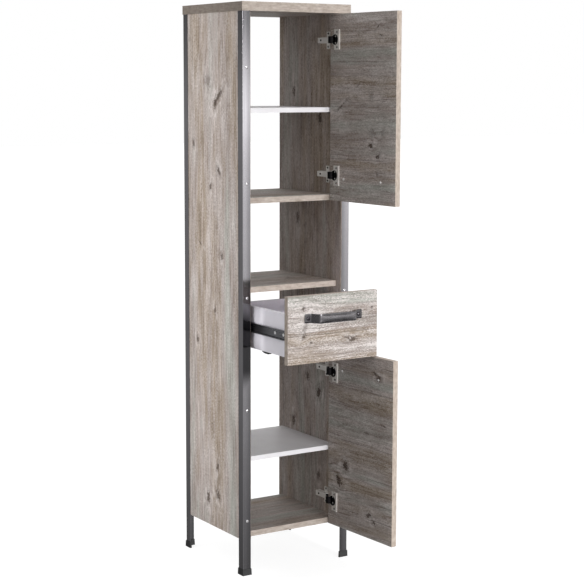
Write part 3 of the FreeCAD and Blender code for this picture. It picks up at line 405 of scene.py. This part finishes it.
# %% A board's finish from its grain, knots and seams
BAND_TONES = ((0.25, paint(162, 148, 137)), (0.5, paint(188, 176, 166)), (0.75, paint(206, 196, 187)))
AXES = {"X": 0, "Y": 1, "Z": 2}


def board_place(tree, along, thin, turn, shift):
    coords = add(tree, "ShaderNodeTexCoord")
    turned = (0.0, 0.0, math.radians(turn))
    plugs = {"Vector": coords.outputs["Object"], "Location": shift, "Rotation": turned}
    closed = add(tree, "ShaderNodeMapping", plugs).outputs[0]
    spots = add(tree, "ShaderNodeSeparateXYZ", {0: closed}).outputs
    plugs = {"Vector": coords.outputs["Normal"], "Rotation": turned}
    facing = add(tree, "ShaderNodeMapping", plugs, vector_type="NORMAL").outputs[0]
    looks = add(tree, "ShaderNodeSeparateXYZ", {0: facing}).outputs
    wide = ({"X", "Y", "Z"} - {along, thin}).pop()
    order = [AXES[along], AXES[wide], AXES[thin]]
    lengths = {number: spots[axis] for number, axis in enumerate(order)}
    place = add(tree, "ShaderNodeCombineXYZ", lengths).outputs[0]
    return place, looks[order[0]], looks[order[2]], spots[order[1]]


def add_knots(tree, place, decor, knots):
    sums = {}
    for centre, size, turn, slim, dark in knots:
        knot = add(tree, "ShaderNodeGroup", node_tree=knot_group)
        tree.links.new(place, knot.inputs["Place"])
        knot.inputs["Centre"].default_value = centre
        knot.inputs["Size"].default_value = size
        knot.inputs["Turn"].default_value = math.radians(-turn)
        knot.inputs["Slim"].default_value = slim
        knot.inputs["Dark"].default_value = dark
        for word in ("Core", "Rings", "Push", "Halo"):
            share = knot.outputs[word]
            sums[word] = work(tree, "ADD", sums[word], share) if word in sums else share
    for word, total in sums.items():
        tree.links.new(total, decor.inputs[word])


def add_seams(tree, across, decor, seams):
    total = None
    for level in seams:
        apart = work(tree, "ABSOLUTE", work(tree, "SUBTRACT", across, level))
        line = ease(tree, apart, 0.0016, 0.0004, 0.0, 0.8)
        total = line if total is None else work(tree, "MAXIMUM", total, line)
    if total is not None:
        tree.links.new(total, decor.inputs["Seams"])


def board_finish(name, along, thin, knots=(), seams=(), wash=0.3, turn=0.0, shift=(0.0, 0.0, 0.0),
                 end_shade=1.0):
    material, tree, shader = start_finish(name)
    place, end_look, flat_look, across = board_place(tree, along, thin, turn, shift)
    decor = add(tree, "ShaderNodeGroup", node_tree=decor_group)
    tree.links.new(place, decor.inputs["Place"])
    decor.inputs["Wash"].default_value = wash
    add_knots(tree, place, decor, knots)
    add_seams(tree, across, decor, seams)
    lines = drawn_noise(tree, place, (30.0, 30.0, 500.0), 2.0, 0.6)
    fleck = drawn_noise(tree, place, (60.0, 60.0, 120.0), 4.0, 0.6)
    band = tone_ramp(tree, weighed(tree, (lines, 0.7), (fleck, 0.8)), BAND_TONES)
    shaded = layer(tree, 1.0, band, (end_shade, end_shade * 0.985, end_shade * 0.965, 1.0), "MULTIPLY")
    band = layer(tree, ease(tree, work(tree, "ABSOLUTE", end_look), 0.6, 0.8), band, shaded)
    edge = ease(tree, work(tree, "ABSOLUTE", flat_look), 0.8, 0.6)
    tree.links.new(layer(tree, edge, decor.outputs["Colour"], band), shader.inputs["Base Color"])
    tree.links.new(ease(tree, decor.outputs["Height"], 0.4, 1.2, 0.66, 0.52), shader.inputs["Roughness"])
    shader.inputs["Specular IOR Level"].default_value = 0.08
    relief = {"Strength": 0.3, "Distance": 0.0004, "Height": decor.outputs["Height"]}
    tree.links.new(add(tree, "ShaderNodeBump", relief).outputs[0], shader.inputs["Normal"])
    return material


# %% [markdown]
# ## Side boards
# The side boards' grain runs upwards. The left board's outer face is the largest surface in view, so its
# knots stand where the real board has them. The right board gets knots of its own on both faces.

# %% Side boards
LEFT = -0.197
LEFT_KNOTS = [
    ((1.558, 0.180, LEFT), 0.021, 25, 0.8, 0.5), ((1.512, 0.113, LEFT), 0.011, -43, 0.33, 0.85),
    ((1.488, 0.134, LEFT), 0.010, -20, 0.5, 0.9), ((1.361, 0.276, LEFT), 0.008, 10, 0.5, 0.75),
    ((1.278, 0.113, LEFT), 0.009, 30, 0.5, 0.85), ((1.227, 0.165, LEFT), 0.008, -25, 0.5, 0.8),
    ((1.042, 0.239, LEFT), 0.003, 60, 0.2, 0.6), ((1.008, 0.094, LEFT), 0.008, 15, 0.6, 0.85),
    ((0.830, 0.140, LEFT), 0.007, 0, 0.4, 0.7), ((0.721, 0.255, LEFT), 0.008, 20, 0.5, 0.85),
    ((0.320, 0.127, LEFT), 0.009, -15, 0.5, 0.8), ((0.224, 0.122, LEFT), 0.012, 30, 0.6, 0.85),
    ((0.204, 0.188, LEFT), 0.012, -10, 0.5, 0.85), ((1.690, 0.300, LEFT), 0.008, 10, 0.5, 0.3),
]
dress(board_finish("left_side_pine", "Z", "X", LEFT_KNOTS, wash=0.5), "side_panel_left")
RIGHT = 0.197
RIGHT_IN = 0.169
RIGHT_KNOTS = [
    ((1.602, 0.092, RIGHT), 0.010, 20, 0.6, 0.8), ((1.390, 0.231, RIGHT), 0.008, -30, 0.5, 0.7),
    ((1.120, 0.154, RIGHT), 0.011, 10, 0.6, 0.85), ((0.871, 0.046, RIGHT), 0.007, 0, 0.5, 0.6),
    ((0.655, 0.272, RIGHT), 0.009, -15, 0.6, 0.7), ((0.343, 0.118, RIGHT), 0.011, 25, 0.5, 0.8),
    ((1.443, 0.090, RIGHT_IN), 0.012, 15, 0.5, 0.85), ((1.526, 0.248, RIGHT_IN), 0.010, 0, 0.5, 0.7),
    ((1.107, 0.221, RIGHT_IN), 0.011, 10, 0.5, 0.7), ((0.535, 0.089, RIGHT_IN), 0.014, -15, 0.6, 0.95),
    ((0.577, 0.157, RIGHT_IN), 0.012, 10, 0.6, 0.8), ((0.411, 0.243, RIGHT_IN), 0.013, 0, 0.6, 0.85),
    ((0.250, 0.090, RIGHT_IN), 0.010, 5, 0.6, 0.7),
]
dress(board_finish("right_side_pine", "Z", "X", RIGHT_KNOTS, wash=0.3), "side_panel_right")

# %% [markdown]
# ## Top and fixed shelves
# Their grain runs across the cabinet. The top's two ends show a darker band than its front.

# %% Top and fixed shelves
TOP_KNOTS = [
    ((-0.080, 0.090, 1.8), 0.010, 20, 0.5, 0.8), ((0.110, 0.230, 1.8), 0.008, -10, 0.5, 0.7),
]
SHELF_KNOTS = [
    ((0.070, 0.120, 0.919), 0.010, 10, 0.5, 0.8), ((-0.060, 0.200, 1.199), 0.008, -20, 0.5, 0.7),
]
dress(board_finish("top_pine", "X", "Z", TOP_KNOTS, (0.05, 0.21), end_shade=0.46), "top_panel")
dress(board_finish("shelf_pine", "X", "Z", SHELF_KNOTS),
      "bottom_panel", "middle_fixed_shelf", "upper_fixed_shelf")

# %% [markdown]
# ## Doors and drawer front
# The fronts' grain lies across. Each front looks like a few narrow planks, so faint dark seams run along
# the grain. Their upright edges carry a band of another shade, paler on the doors and darker on the drawer.
# The doors' knots are given on the closed door, for its inner and its outer face.

# %% Doors and drawer front
DOOR_OPEN = 93.3
DOOR_SHIFT = (0.18561, 0.12222, 0.0)
IN = -0.018
OUT = -0.036
UPPER_KNOTS = [
    ((-0.043, 1.362, IN), 0.009, 0, 0.9, 1.0), ((-0.080, 1.331, IN), 0.009, -40, 0.6, 0.85),
    ((-0.089, 1.699, IN), 0.004, 10, 0.5, 0.8), ((-0.074, 1.725, IN), 0.003, -35, 0.25, 0.8),
    ((0.021, 1.548, IN), 0.003, -40, 0.2, 0.45), ((-0.042, 1.514, IN), 0.013, 0, 0.7, 0.35),
    ((-0.052, 1.403, IN), 0.014, 10, 0.6, 0.4), ((-0.100, 1.404, IN), 0.010, -15, 0.6, 0.35),
    ((-0.076, 1.275, IN), 0.005, 0, 0.8, 0.7), ((0.110, 1.480, IN), 0.004, -35, 0.12, 0.7),
    ((-0.060, 1.640, OUT), 0.010, 10, 0.5, 0.85), ((0.090, 1.420, OUT), 0.011, -15, 0.5, 0.8),
    ((-0.110, 1.330, OUT), 0.008, 20, 0.5, 0.7),
]
LOWER_KNOTS = [
    ((0.073, 0.329, IN), 0.014, 70, 0.7, 1.0), ((0.109, 0.271, IN), 0.015, 60, 0.6, 0.9),
    ((-0.049, 0.190, IN), 0.010, 0, 0.7, 0.85), ((-0.075, 0.172, IN), 0.007, 20, 0.6, 0.8),
    ((-0.094, 0.638, IN), 0.009, -30, 0.6, 0.9), ((-0.077, 0.651, IN), 0.006, 20, 0.5, 0.8),
    ((-0.120, 0.492, IN), 0.003, 10, 0.2, 0.7), ((-0.034, 0.454, IN), 0.006, 0, 0.4, 0.5),
    ((0.050, 0.560, OUT), 0.011, 10, 0.5, 0.85), ((-0.080, 0.330, OUT), 0.009, -15, 0.5, 0.8),
    ((0.110, 0.210, OUT), 0.008, 15, 0.5, 0.7),
]
DOOR_END = 1.2
dress(board_finish("upper_door_pine", "X", "Y", UPPER_KNOTS, (1.620, 1.480, 1.316), 0.55,
                   -DOOR_OPEN, DOOR_SHIFT, DOOR_END), "upper_door")
dress(board_finish("lower_door_pine", "X", "Y", LOWER_KNOTS, (0.585, 0.410, 0.265), 0.5,
                   -DOOR_OPEN, DOOR_SHIFT, DOOR_END), "lower_door")
DRAWER = -0.246
DRAWER_KNOTS = [
    ((-0.108, 0.878, DRAWER), 0.006, 70, 0.7, 0.75), ((0.144, 0.864, DRAWER), 0.005, 0, 0.8, 0.85),
    ((-0.106, 0.790, DRAWER), 0.005, 40, 0.5, 0.8), ((-0.080, 0.771, DRAWER), 0.004, 0, 0.6, 0.8),
    ((0.072, 0.769, DRAWER), 0.009, 20, 0.45, 0.8), ((0.052, 0.777, DRAWER), 0.006, -10, 0.4, 0.6),
    ((-0.103, 0.816, DRAWER), 0.011, 65, 0.4, 0.42),
]
dress(board_finish("drawer_front_pine", "X", "Y", DRAWER_KNOTS, (0.794, 0.757, 0.727), 1.25,
                   end_shade=0.82), "drawer_front")

# %% [markdown]
# ## Plain coated boards
# The loose shelves are white coated chipboard and the drawer's box is a pale grey foil. Both look flat from
# afar, but a coated board has a faint orange peel and never one single tone. A fine noise gives both. The
# beech dowels inside the joints get the same tree in their own colour.

# %% White and grey boards
def coated_finish(name, dark, pale, low, high):
    material, tree, shader = start_finish(name)
    spot = add(tree, "ShaderNodeTexCoord").outputs["Object"]
    tone = drawn_noise(tree, spot, (9.0, 9.0, 9.0), 3.0, 0.6)
    peel = drawn_noise(tree, spot, (900.0, 900.0, 900.0), 1.0, 0.5)
    tree.links.new(layer(tree, ease(tree, tone, 0.3, 0.7), dark, pale), shader.inputs["Base Color"])
    tree.links.new(ease(tree, peel, 0.3, 0.7, low, high), shader.inputs["Roughness"])
    shader.inputs["Specular IOR Level"].default_value = 0.3
    bump = add(tree, "ShaderNodeBump", {"Strength": 0.12, "Distance": 0.0002, "Height": peel})
    tree.links.new(bump.outputs[0], shader.inputs["Normal"])
    return material


dress(coated_finish("white_shelf_coat", paint(238, 236, 239), paint(245, 244, 246), 0.42, 0.52),
      "upper_loose_shelf", "lower_loose_shelf")
dress(coated_finish("drawer_foil", paint(226, 223, 230), paint(234, 231, 238), 0.45, 0.55),
      "drawer_side_left", "drawer_side_right", "drawer_back", "drawer_bottom")
dress(coated_finish("beech_peg", paint(196, 160, 118), paint(212, 178, 136), 0.6, 0.7),
      "carcass_dowels", "drawer_dowels")

# %% [markdown]
# ## Metal and plastic
# The posts are gunmetal, the hinges nickel, the slides zinc and the handles dark steel. Each metal
# is the same small tree with other numbers: a cloudy tone, fine drawn lines from rolling or brushing, and a
# roughness that changes a little with the lines, so that no reflection is perfectly even. The black plastic
# of the feet and clips is that tree without the metal.

# %% Metal finishes
# BARE_BLACK is the black of the plastic caps and clips, and also the black that painted shade darkens a metal
# towards.
BARE_BLACK = paint(14, 14, 15)


def metal_finish(name, dark, pale, low, high, lines=(40.0, 40.0, 40.0), metal=1.0, shade=None):
    material, tree, shader = start_finish(name)
    coords = add(tree, "ShaderNodeTexCoord").outputs
    cloud = drawn_noise(tree, coords["Object"], (14.0, 14.0, 14.0), 3.0, 0.6)
    brush = drawn_noise(tree, coords["Object"], lines, 2.0, 0.6)
    both = work(tree, "ADD", work(tree, "MULTIPLY", cloud, 0.6), work(tree, "MULTIPLY", brush, 0.4))
    tone = layer(tree, ease(tree, both, 0.3, 0.7), dark, pale)
    # Painted shade: where the mask says, the metal's tone is darkened towards black.
    if shade:
        tone = layer(tree, shade(tree, coords), tone, BARE_BLACK)
    tree.links.new(tone, shader.inputs["Base Color"])
    tree.links.new(ease(tree, brush, 0.3, 0.7, low, high), shader.inputs["Roughness"])
    shader.inputs["Metallic"].default_value = metal
    bump = add(tree, "ShaderNodeBump", {"Strength": 0.1, "Distance": 0.0001, "Height": brush})
    tree.links.new(bump.outputs[0], shader.inputs["Normal"])
    return material


CAPS = [f"foot_cap_{depth}_{side}" for depth in ("front", "rear") for side in ("left", "right")]
DOORS = ("upper_door", "lower_door")
dress(metal_finish("cap_plastic", BARE_BLACK, paint(22, 22, 23), 0.42, 0.54, (600.0, 600.0, 600.0), 0.0),
      *CAPS, "drawer_clips")
dress(metal_finish("pin_nickel", paint(139, 136, 131), paint(156, 153, 149), 0.22, 0.32),
      "shelf_pins", "cam_bolts", "cam_discs")
dress(metal_finish("hinge_nickel", paint(232, 229, 224), paint(247, 244, 239), 0.34, 0.44,
                   (40.0, 40.0, 400.0), 0.2),
      *[f"{door}_hinge_{part}" for door in DOORS for part in ("plates", "arms", "pins")])
dress(metal_finish("hinge_neck_black", paint(22, 21, 22), paint(32, 31, 32), 0.34, 0.44),
      *[f"{door}_hinge_necks" for door in DOORS])
dress(metal_finish("fitting_screw_steel", paint(51, 50, 48), paint(70, 69, 67), 0.25, 0.35),
      "hardware_screws")
dress(metal_finish("cup_screw_steel", paint(88, 86, 85), paint(109, 108, 107), 0.25, 0.35),
      *[f"{door}_cup_screws" for door in DOORS])
dress(metal_finish("slide_screw_zinc", paint(226, 225, 226), paint(240, 239, 240), 0.30, 0.40,
                   metal=0.3),
      "drawer_slide_screws")
dress(metal_finish("slide_zinc", paint(109, 109, 112), paint(128, 128, 131), 0.24, 0.36,
                   (260.0, 6.0, 260.0), 0.95),
      "slide_outer_left", "slide_outer_right", "slide_inner_left", "slide_inner_right")
dress(metal_finish("cage_steel", paint(88, 88, 90), paint(109, 109, 112), 0.3, 0.4),
      "slide_ball_cage_left", "slide_ball_cage_right")

# %% [markdown]
# ## Painted shade on metal
# Two finishes get painted shade that changes with the place. A hinge cup is bright on its flange and has
# painted shade inside the bowl, below the door's face. A post's forward faces get a little painted shade
# towards the leg's inner edge, and the front left post has a painted dark reflection beside the drawer,
# which stands for what polished steel mirrors there.

# %% Posts and hinge cups
# Painted shade on a post's forward faces towards the leg's inner edge, and on the front left post a painted
# dark reflection beside the drawer.
def post_shade(beside_drawer):
    def shade(tree, coords):
        spots = add(tree, "ShaderNodeSeparateXYZ", {0: coords["Object"]}).outputs
        looks = add(tree, "ShaderNodeSeparateXYZ", {0: coords["Normal"]}).outputs
        front = ease(tree, looks[1], -0.5, -0.9)
        inner = ease(tree, work(tree, "ABSOLUTE", spots[0]), 0.190, 0.172, 0.0, 0.34)
        if beside_drawer:
            above = ease(tree, spots[2], 0.885, 0.80, 0.0, 0.86)
            below = ease(tree, spots[2], 0.59, 0.665)
            inner = work(tree, "MAXIMUM", inner, work(tree, "MULTIPLY", above, below))
        return work(tree, "MULTIPLY", front, inner)
    return shade


def closed_spots(tree, coords):
    turned = (0.0, 0.0, math.radians(-DOOR_OPEN))
    plugs = {"Vector": coords["Object"], "Location": DOOR_SHIFT, "Rotation": turned}
    closed = add(tree, "ShaderNodeMapping", plugs).outputs[0]
    return add(tree, "ShaderNodeSeparateXYZ", {0: closed}).outputs


# Painted shade inside the hinge cup's bowl, below the door's face.
def cup_shade(tree, coords):
    return ease(tree, closed_spots(tree, coords)[1], -0.0172, -0.0182, 0.0, 0.94)


GUNMETAL = (paint(128, 126, 129), paint(133, 131, 134), 0.10, 0.15, (160.0, 160.0, 3.0))
for depth in ("front", "rear"):
    for side in ("left", "right"):
        shade = post_shade((depth, side) == ("front", "left"))
        dress(metal_finish(f"{depth}_{side}_gunmetal", *GUNMETAL, shade=shade), f"corner_post_{depth}_{side}")
dress(metal_finish("hinge_cup_nickel", paint(226, 223, 218), paint(242, 239, 234), 0.34, 0.44, metal=0.4,
                   shade=cup_shade),
      *[f"{door}_hinge_{part}" for door in DOORS for part in ("cup_top", "cup_bottom")])

# %% [markdown]
# ## Picking in edit mode
# By hand, edges and faces are clicked. In a script they are picked by where they are, so that the same
# edges are found on every run. One helper clears what is selected, because the loaded solids still are, and
# the next picks what passes a test. The others choose one piece, apply a modifier, set a copy in its place,
# and give a finished piece its metal and its body.

# %% Helpers for modelling
def clear_selection():
    if bpy.context.object and bpy.context.object.mode != "OBJECT":
        bpy.ops.object.mode_set(mode="OBJECT")
    bpy.ops.object.select_all(action="DESELECT")


def pick(kind, passes):
    mesh = bpy.context.edit_object.data
    shape = bmesh.from_edit_mesh(mesh)
    modes = {"verts": "VERT", "edges": "EDGE", "faces": "FACE"}
    bpy.ops.mesh.select_mode(type=modes[kind])
    bpy.ops.mesh.select_all(action="DESELECT")
    picked = 0
    for element in getattr(shape, kind):
        corners = [element] if kind == "verts" else element.verts
        middle = sum((corner.co for corner in corners), Vector()) / len(corners)
        if passes(middle, [corner.co for corner in corners]):
            element.select_set(True)
            picked += 1
    shape.select_flush_mode()
    bmesh.update_edit_mesh(mesh)
    return picked


def only(piece):
    clear_selection()
    piece.select_set(True)
    bpy.context.view_layer.objects.active = piece


def apply_modifier(piece, kind, **settings):
    only(piece)
    modifier = piece.modifiers.new(kind.lower(), kind)
    for word, value in settings.items():
        setattr(modifier, word, value)
    bpy.ops.object.modifier_apply(modifier=modifier.name)


def copy_to(piece, name, place):
    only(piece)
    bpy.ops.object.duplicate()
    twin = bpy.context.object
    twin.name = name
    twin.matrix_world = place
    bpy.ops.object.transform_apply(location=True, rotation=True, scale=True)
    return twin


def finish_piece(piece, material, body, slot, *stands_for):
    only(piece)
    bpy.ops.object.shade_smooth_by_angle(angle=math.radians(35.0))
    piece.data.materials.clear()
    piece.data.materials.append(material)
    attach(piece, body)
    if stands_for:
        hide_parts(*stands_for)
    print(piece.name, "faces", len(piece.data.polygons))


# %% [markdown]
# ## Where things stand at rest
# The doors stand open at rest and the drawer is pulled out. A piece for a door is modelled on the closed
# door and then swung about the hinge pins. A piece for the drawer is moved forward by the pull.

# %% Places of the fronts
PIN = Vector((0.1505, -0.0265, 0.0))
OPENING = Matrix.Rotation(math.radians(DOOR_OPEN), 4, "Z")
SWING = Matrix.Translation(PIN) @ OPENING @ Matrix.Translation(-PIN)
PULL = Matrix.Translation((0.0, -0.210, 0.0))
HANDLE_PLACES = {
    "upper_door": SWING @ Matrix.Translation((0.0, OUT, 1.251)),
    "lower_door": SWING @ Matrix.Translation((0.0, OUT, 0.634)),
    "drawer": PULL @ Matrix.Translation((0.0, OUT, 0.846)),
}
for front, place in HANDLE_PLACES.items():
    print(front, "handle at", tuple(round(length, 4) for length in place.translation))

# %% [markdown]
# ## The bow handle
# The handle is one strap of steel: a flat foot, a leg, a long grip, a leg and a foot. It could be cut from a
# block, but it is made as a smith makes it: a flat foot is extended step by step along the strap's line, the
# bends are rounded, the long edges of the grip are pressed back so that it is slightly crowned, and only
# then does the strap get its thickness. All three handles are copies of this one.

# %% Model the handle
BOLT_X = 0.09275
FOOT = 0.024
LEG_RUN = 0.016
GAUGE = 0.003
REACH = 0.027
STRAP_HEIGHT = 0.028
GRIP = 2 * (BOLT_X - FOOT / 2 - LEG_RUN)
BEND_ROUNDING = 0.0042
CORNER_ROUNDING = 0.0035
EDGE_ROUNDING = 0.0005


def on_a_bend(middle, ends):
    upright = abs(ends[0].x - ends[1].x) < 1e-5
    return upright and min(abs(abs(middle.x) - bend) for bend in (GRIP / 2 + LEG_RUN, GRIP / 2)) < 1e-4


def make_handle():
    clear_selection()
    bpy.ops.mesh.primitive_plane_add(size=1.0, location=(-BOLT_X, 0.0, 0.0), rotation=(math.pi / 2, 0.0, 0.0))
    handle = bpy.context.object
    handle.name = "bow_handle"
    handle.scale = (FOOT, STRAP_HEIGHT, 1.0)
    bpy.ops.object.transform_apply(location=True, rotation=True, scale=True)
    bpy.ops.object.mode_set(mode="EDIT")
    end = -BOLT_X + FOOT / 2
    for run, rise in ((LEG_RUN, -REACH), (GRIP, 0.0), (LEG_RUN, REACH), (FOOT, 0.0)):
        pick("edges", lambda middle, ends: middle.x > end - 1e-5)
        bpy.ops.mesh.extrude_region_move(TRANSFORM_OT_translate={"value": (run, rise, 0.0)})
        end += run
    pick("edges", on_a_bend)
    bpy.ops.mesh.bevel(offset=BEND_ROUNDING, segments=5, affect="EDGES")
    pick("verts", lambda middle, ends: abs(middle.x) > BOLT_X + FOOT / 2 - 1e-4)
    bpy.ops.mesh.bevel(offset=CORNER_ROUNDING, segments=4, affect="VERTICES")
    for level in (-0.009, -0.003, 0.003, 0.009):
        bpy.ops.mesh.select_all(action="SELECT")
        bpy.ops.mesh.bisect(plane_co=(0.0, 0.0, level), plane_no=(0.0, 0.0, 1.0))
    for level in (-0.050, -0.025, 0.0, 0.025, 0.050):
        bpy.ops.mesh.select_all(action="SELECT")
        bpy.ops.mesh.bisect(plane_co=(level, 0.0, 0.0), plane_no=(1.0, 0.0, 0.0))
    for least, back in ((0.0085, 0.0007), (0.0135, 0.0013)):
        pick("verts", lambda middle, ends: abs(middle.z) > least and abs(middle.x) < 0.052)
        bpy.ops.transform.translate(value=(0.0, back, 0.0))
    bpy.ops.object.mode_set(mode="OBJECT")
    apply_modifier(handle, "SOLIDIFY", thickness=GAUGE, offset=1.0)
    apply_modifier(handle, "BEVEL", width=EDGE_ROUNDING, segments=2, limit_method="ANGLE",
                   angle_limit=math.radians(50.0))
    return handle


handle = make_handle()
print("handle box", [round(v, 4) for v in handle.dimensions])

# %% [markdown]
# ## Screws and bolts
# A screw head starts as a short cylinder. Its top face is drawn up and in three times for a dome, and the
# recess is cut with a second shape by a Boolean modifier. The handles' bolts have a plain black dome outside
# and a head with a cross recess on the board's inner face, where the screwdriver was used.

# %% Model the screw heads
def make_head(name, radius, height, recess):
    clear_selection()
    rim = height * 0.4
    bpy.ops.mesh.primitive_cylinder_add(vertices=24, radius=radius, depth=rim, location=(0.0, 0.0, rim / 2))
    head = bpy.context.object
    head.name = name
    bpy.ops.object.transform_apply(location=True, rotation=True, scale=True)
    bpy.ops.object.mode_set(mode="EDIT")
    top = rim
    for rise, draw in ((0.32, 0.86), (0.20, 0.72), (0.08, 0.50)):
        pick("faces", lambda middle, corners: middle.z > top - 1e-6)
        bpy.ops.mesh.extrude_region_move(TRANSFORM_OT_translate={"value": (0.0, 0.0, rise * height)})
        bpy.ops.transform.resize(value=(draw, draw, 1.0))
        top += rise * height
    bpy.ops.object.mode_set(mode="OBJECT")
    if recess == "cross":
        cut_recess(head, ((radius * 0.95, radius * 0.26), (radius * 0.26, radius * 0.95)), height)
    if recess == "hexagon":
        cut_recess(head, (), height, radius * 0.42)
    return head


def cut_recess(head, slots, height, round_size=0.0):
    clear_selection()
    tools = []
    for long, wide in slots:
        bpy.ops.mesh.primitive_cube_add(size=1.0, location=(0.0, 0.0, height * 0.85))
        bpy.context.object.scale = (long, wide, height)
        tools.append(bpy.context.object)
    if round_size:
        bpy.ops.mesh.primitive_cylinder_add(vertices=6, radius=round_size, depth=height,
                                            location=(0.0, 0.0, height))
        tools.append(bpy.context.object)
    for tool in tools:
        only(tool)
        bpy.ops.object.transform_apply(location=True, rotation=True, scale=True)
        apply_modifier(head, "BOOLEAN", operation="DIFFERENCE", solver="EXACT", object=tool)
        bpy.data.objects.remove(tool)


def spread(head, name, places):
    twins = [copy_to(head, f"{name}_{index}", place) for index, place in enumerate(places)]
    clear_selection()
    for twin in twins:
        twin.select_set(True)
    bpy.context.view_layer.objects.active = twins[0]
    bpy.ops.object.join()
    twins[0].name = name
    return twins[0]


dome_head = make_head("dome_head", 0.0065, 0.0025, "plain")
cross_head = make_head("cross_head", 0.0040, 0.0024, "cross")
post_head = make_head("post_head", 0.0045, 0.0018, "hexagon")
print("heads", [len(head.data.polygons) for head in (dome_head, cross_head, post_head)])

# %% [markdown]
# ## Fit the handles and their bolts
# Each front gets a copy of the handle, two domes in front and two cross heads behind. The domes stand on the
# strap's feet, and the cross heads on the board's inner face, exactly where the solids have their bolts.
# The feet and legs are darkened with painted shade, while the grip keeps the steel's own tone.

# %% Handles on the doors and the drawer
# Painted shade on the handle's feet and legs: the mask rises beyond the ends of the grip.
def painted_leg_shade(tree, spots):
    side = work(tree, "ABSOLUTE", spots[0])
    return ease(tree, side, GRIP / 2, GRIP / 2 + 0.004, 0.0, 0.4)


def drawer_handle_painted_shade(tree, coords):
    return painted_leg_shade(tree, add(tree, "ShaderNodeSeparateXYZ", {0: coords["Object"]}).outputs)


def door_handle_painted_shade(tree, coords):
    return painted_leg_shade(tree, closed_spots(tree, coords))


HANDLE_STEEL = (paint(89, 87, 89), paint(109, 107, 109), 0.20, 0.30)
handle_metal = {
    "drawer": metal_finish("drawer_handle_brushed", *HANDLE_STEEL, (40.0, 500.0, 500.0), shade=drawer_handle_painted_shade),
    "door": metal_finish("door_handle_brushed", *HANDLE_STEEL, (500.0, 40.0, 500.0), shade=door_handle_painted_shade),
}
bolt_metal = metal_finish("bolt_black", paint(58, 55, 58), paint(76, 73, 76), 0.06, 0.10)
bolt_end_metal = metal_finish("bolt_end_zinc", paint(228, 226, 224), paint(242, 240, 238), 0.24, 0.34,
                              metal=0.2)
BOARD = IN - OUT
LOOK_FRONT = Matrix.Rotation(math.pi / 2, 4, "X")
LOOK_BACK = Matrix.Rotation(-math.pi / 2, 4, "X")
for front, place in HANDLE_PLACES.items():
    strap = copy_to(handle, f"{front}_bow_handle", place)
    finish_piece(strap, handle_metal[front.split("_")[-1]], front, "handle_steel", f"{front}_handle")
    bolts = (-BOLT_X, BOLT_X)
    outer = [place @ Matrix.Translation((side, -GAUGE, 0.0)) @ LOOK_FRONT for side in bolts]
    domes = spread(dome_head, f"{front}_bolt_domes", outer)
    inner = [place @ Matrix.Translation((side, BOARD, 0.0)) @ LOOK_BACK for side in bolts]
    ends = spread(cross_head, f"{front}_bolt_ends", inner)
    finish_piece(domes, bolt_metal, front, "bolt_steel", f"{front}_handle_bolts")
    finish_piece(ends, bolt_end_metal, front, "bolt_steel")

# %% [markdown]
# ## Screws in the posts
# Five screws hold each post to a side board's edge. They are spread evenly up the post, in the middle of
# the leg that faces the front or the back. The rear posts' screws face backwards.

# %% Post screws
POST_X = 0.1833
POST_FRONT = -0.038
POST_BACK = 0.339
LOWEST_SCREW = 0.177
SCREW_STEP = 0.356
POST_SPOTS = []
for level in range(5):
    height = LOWEST_SCREW + SCREW_STEP * level
    for side in (-POST_X, POST_X):
        POST_SPOTS.append(Matrix.Translation((side, POST_FRONT, height)) @ LOOK_FRONT)
        POST_SPOTS.append(Matrix.Translation((side, POST_BACK, height)) @ LOOK_BACK)
post_metal = metal_finish("post_screw_bright", paint(184, 182, 184), paint(206, 204, 206), 0.16, 0.22)
post_heads = spread(post_head, "post_screw_heads", POST_SPOTS)
finish_piece(post_heads, post_metal, "carcass", "post_screw_steel", "post_screws")

# %% Put the patterns away
for pattern in (handle, dome_head, cross_head, post_head):
    bpy.data.objects.remove(pattern)
print("patterns removed")
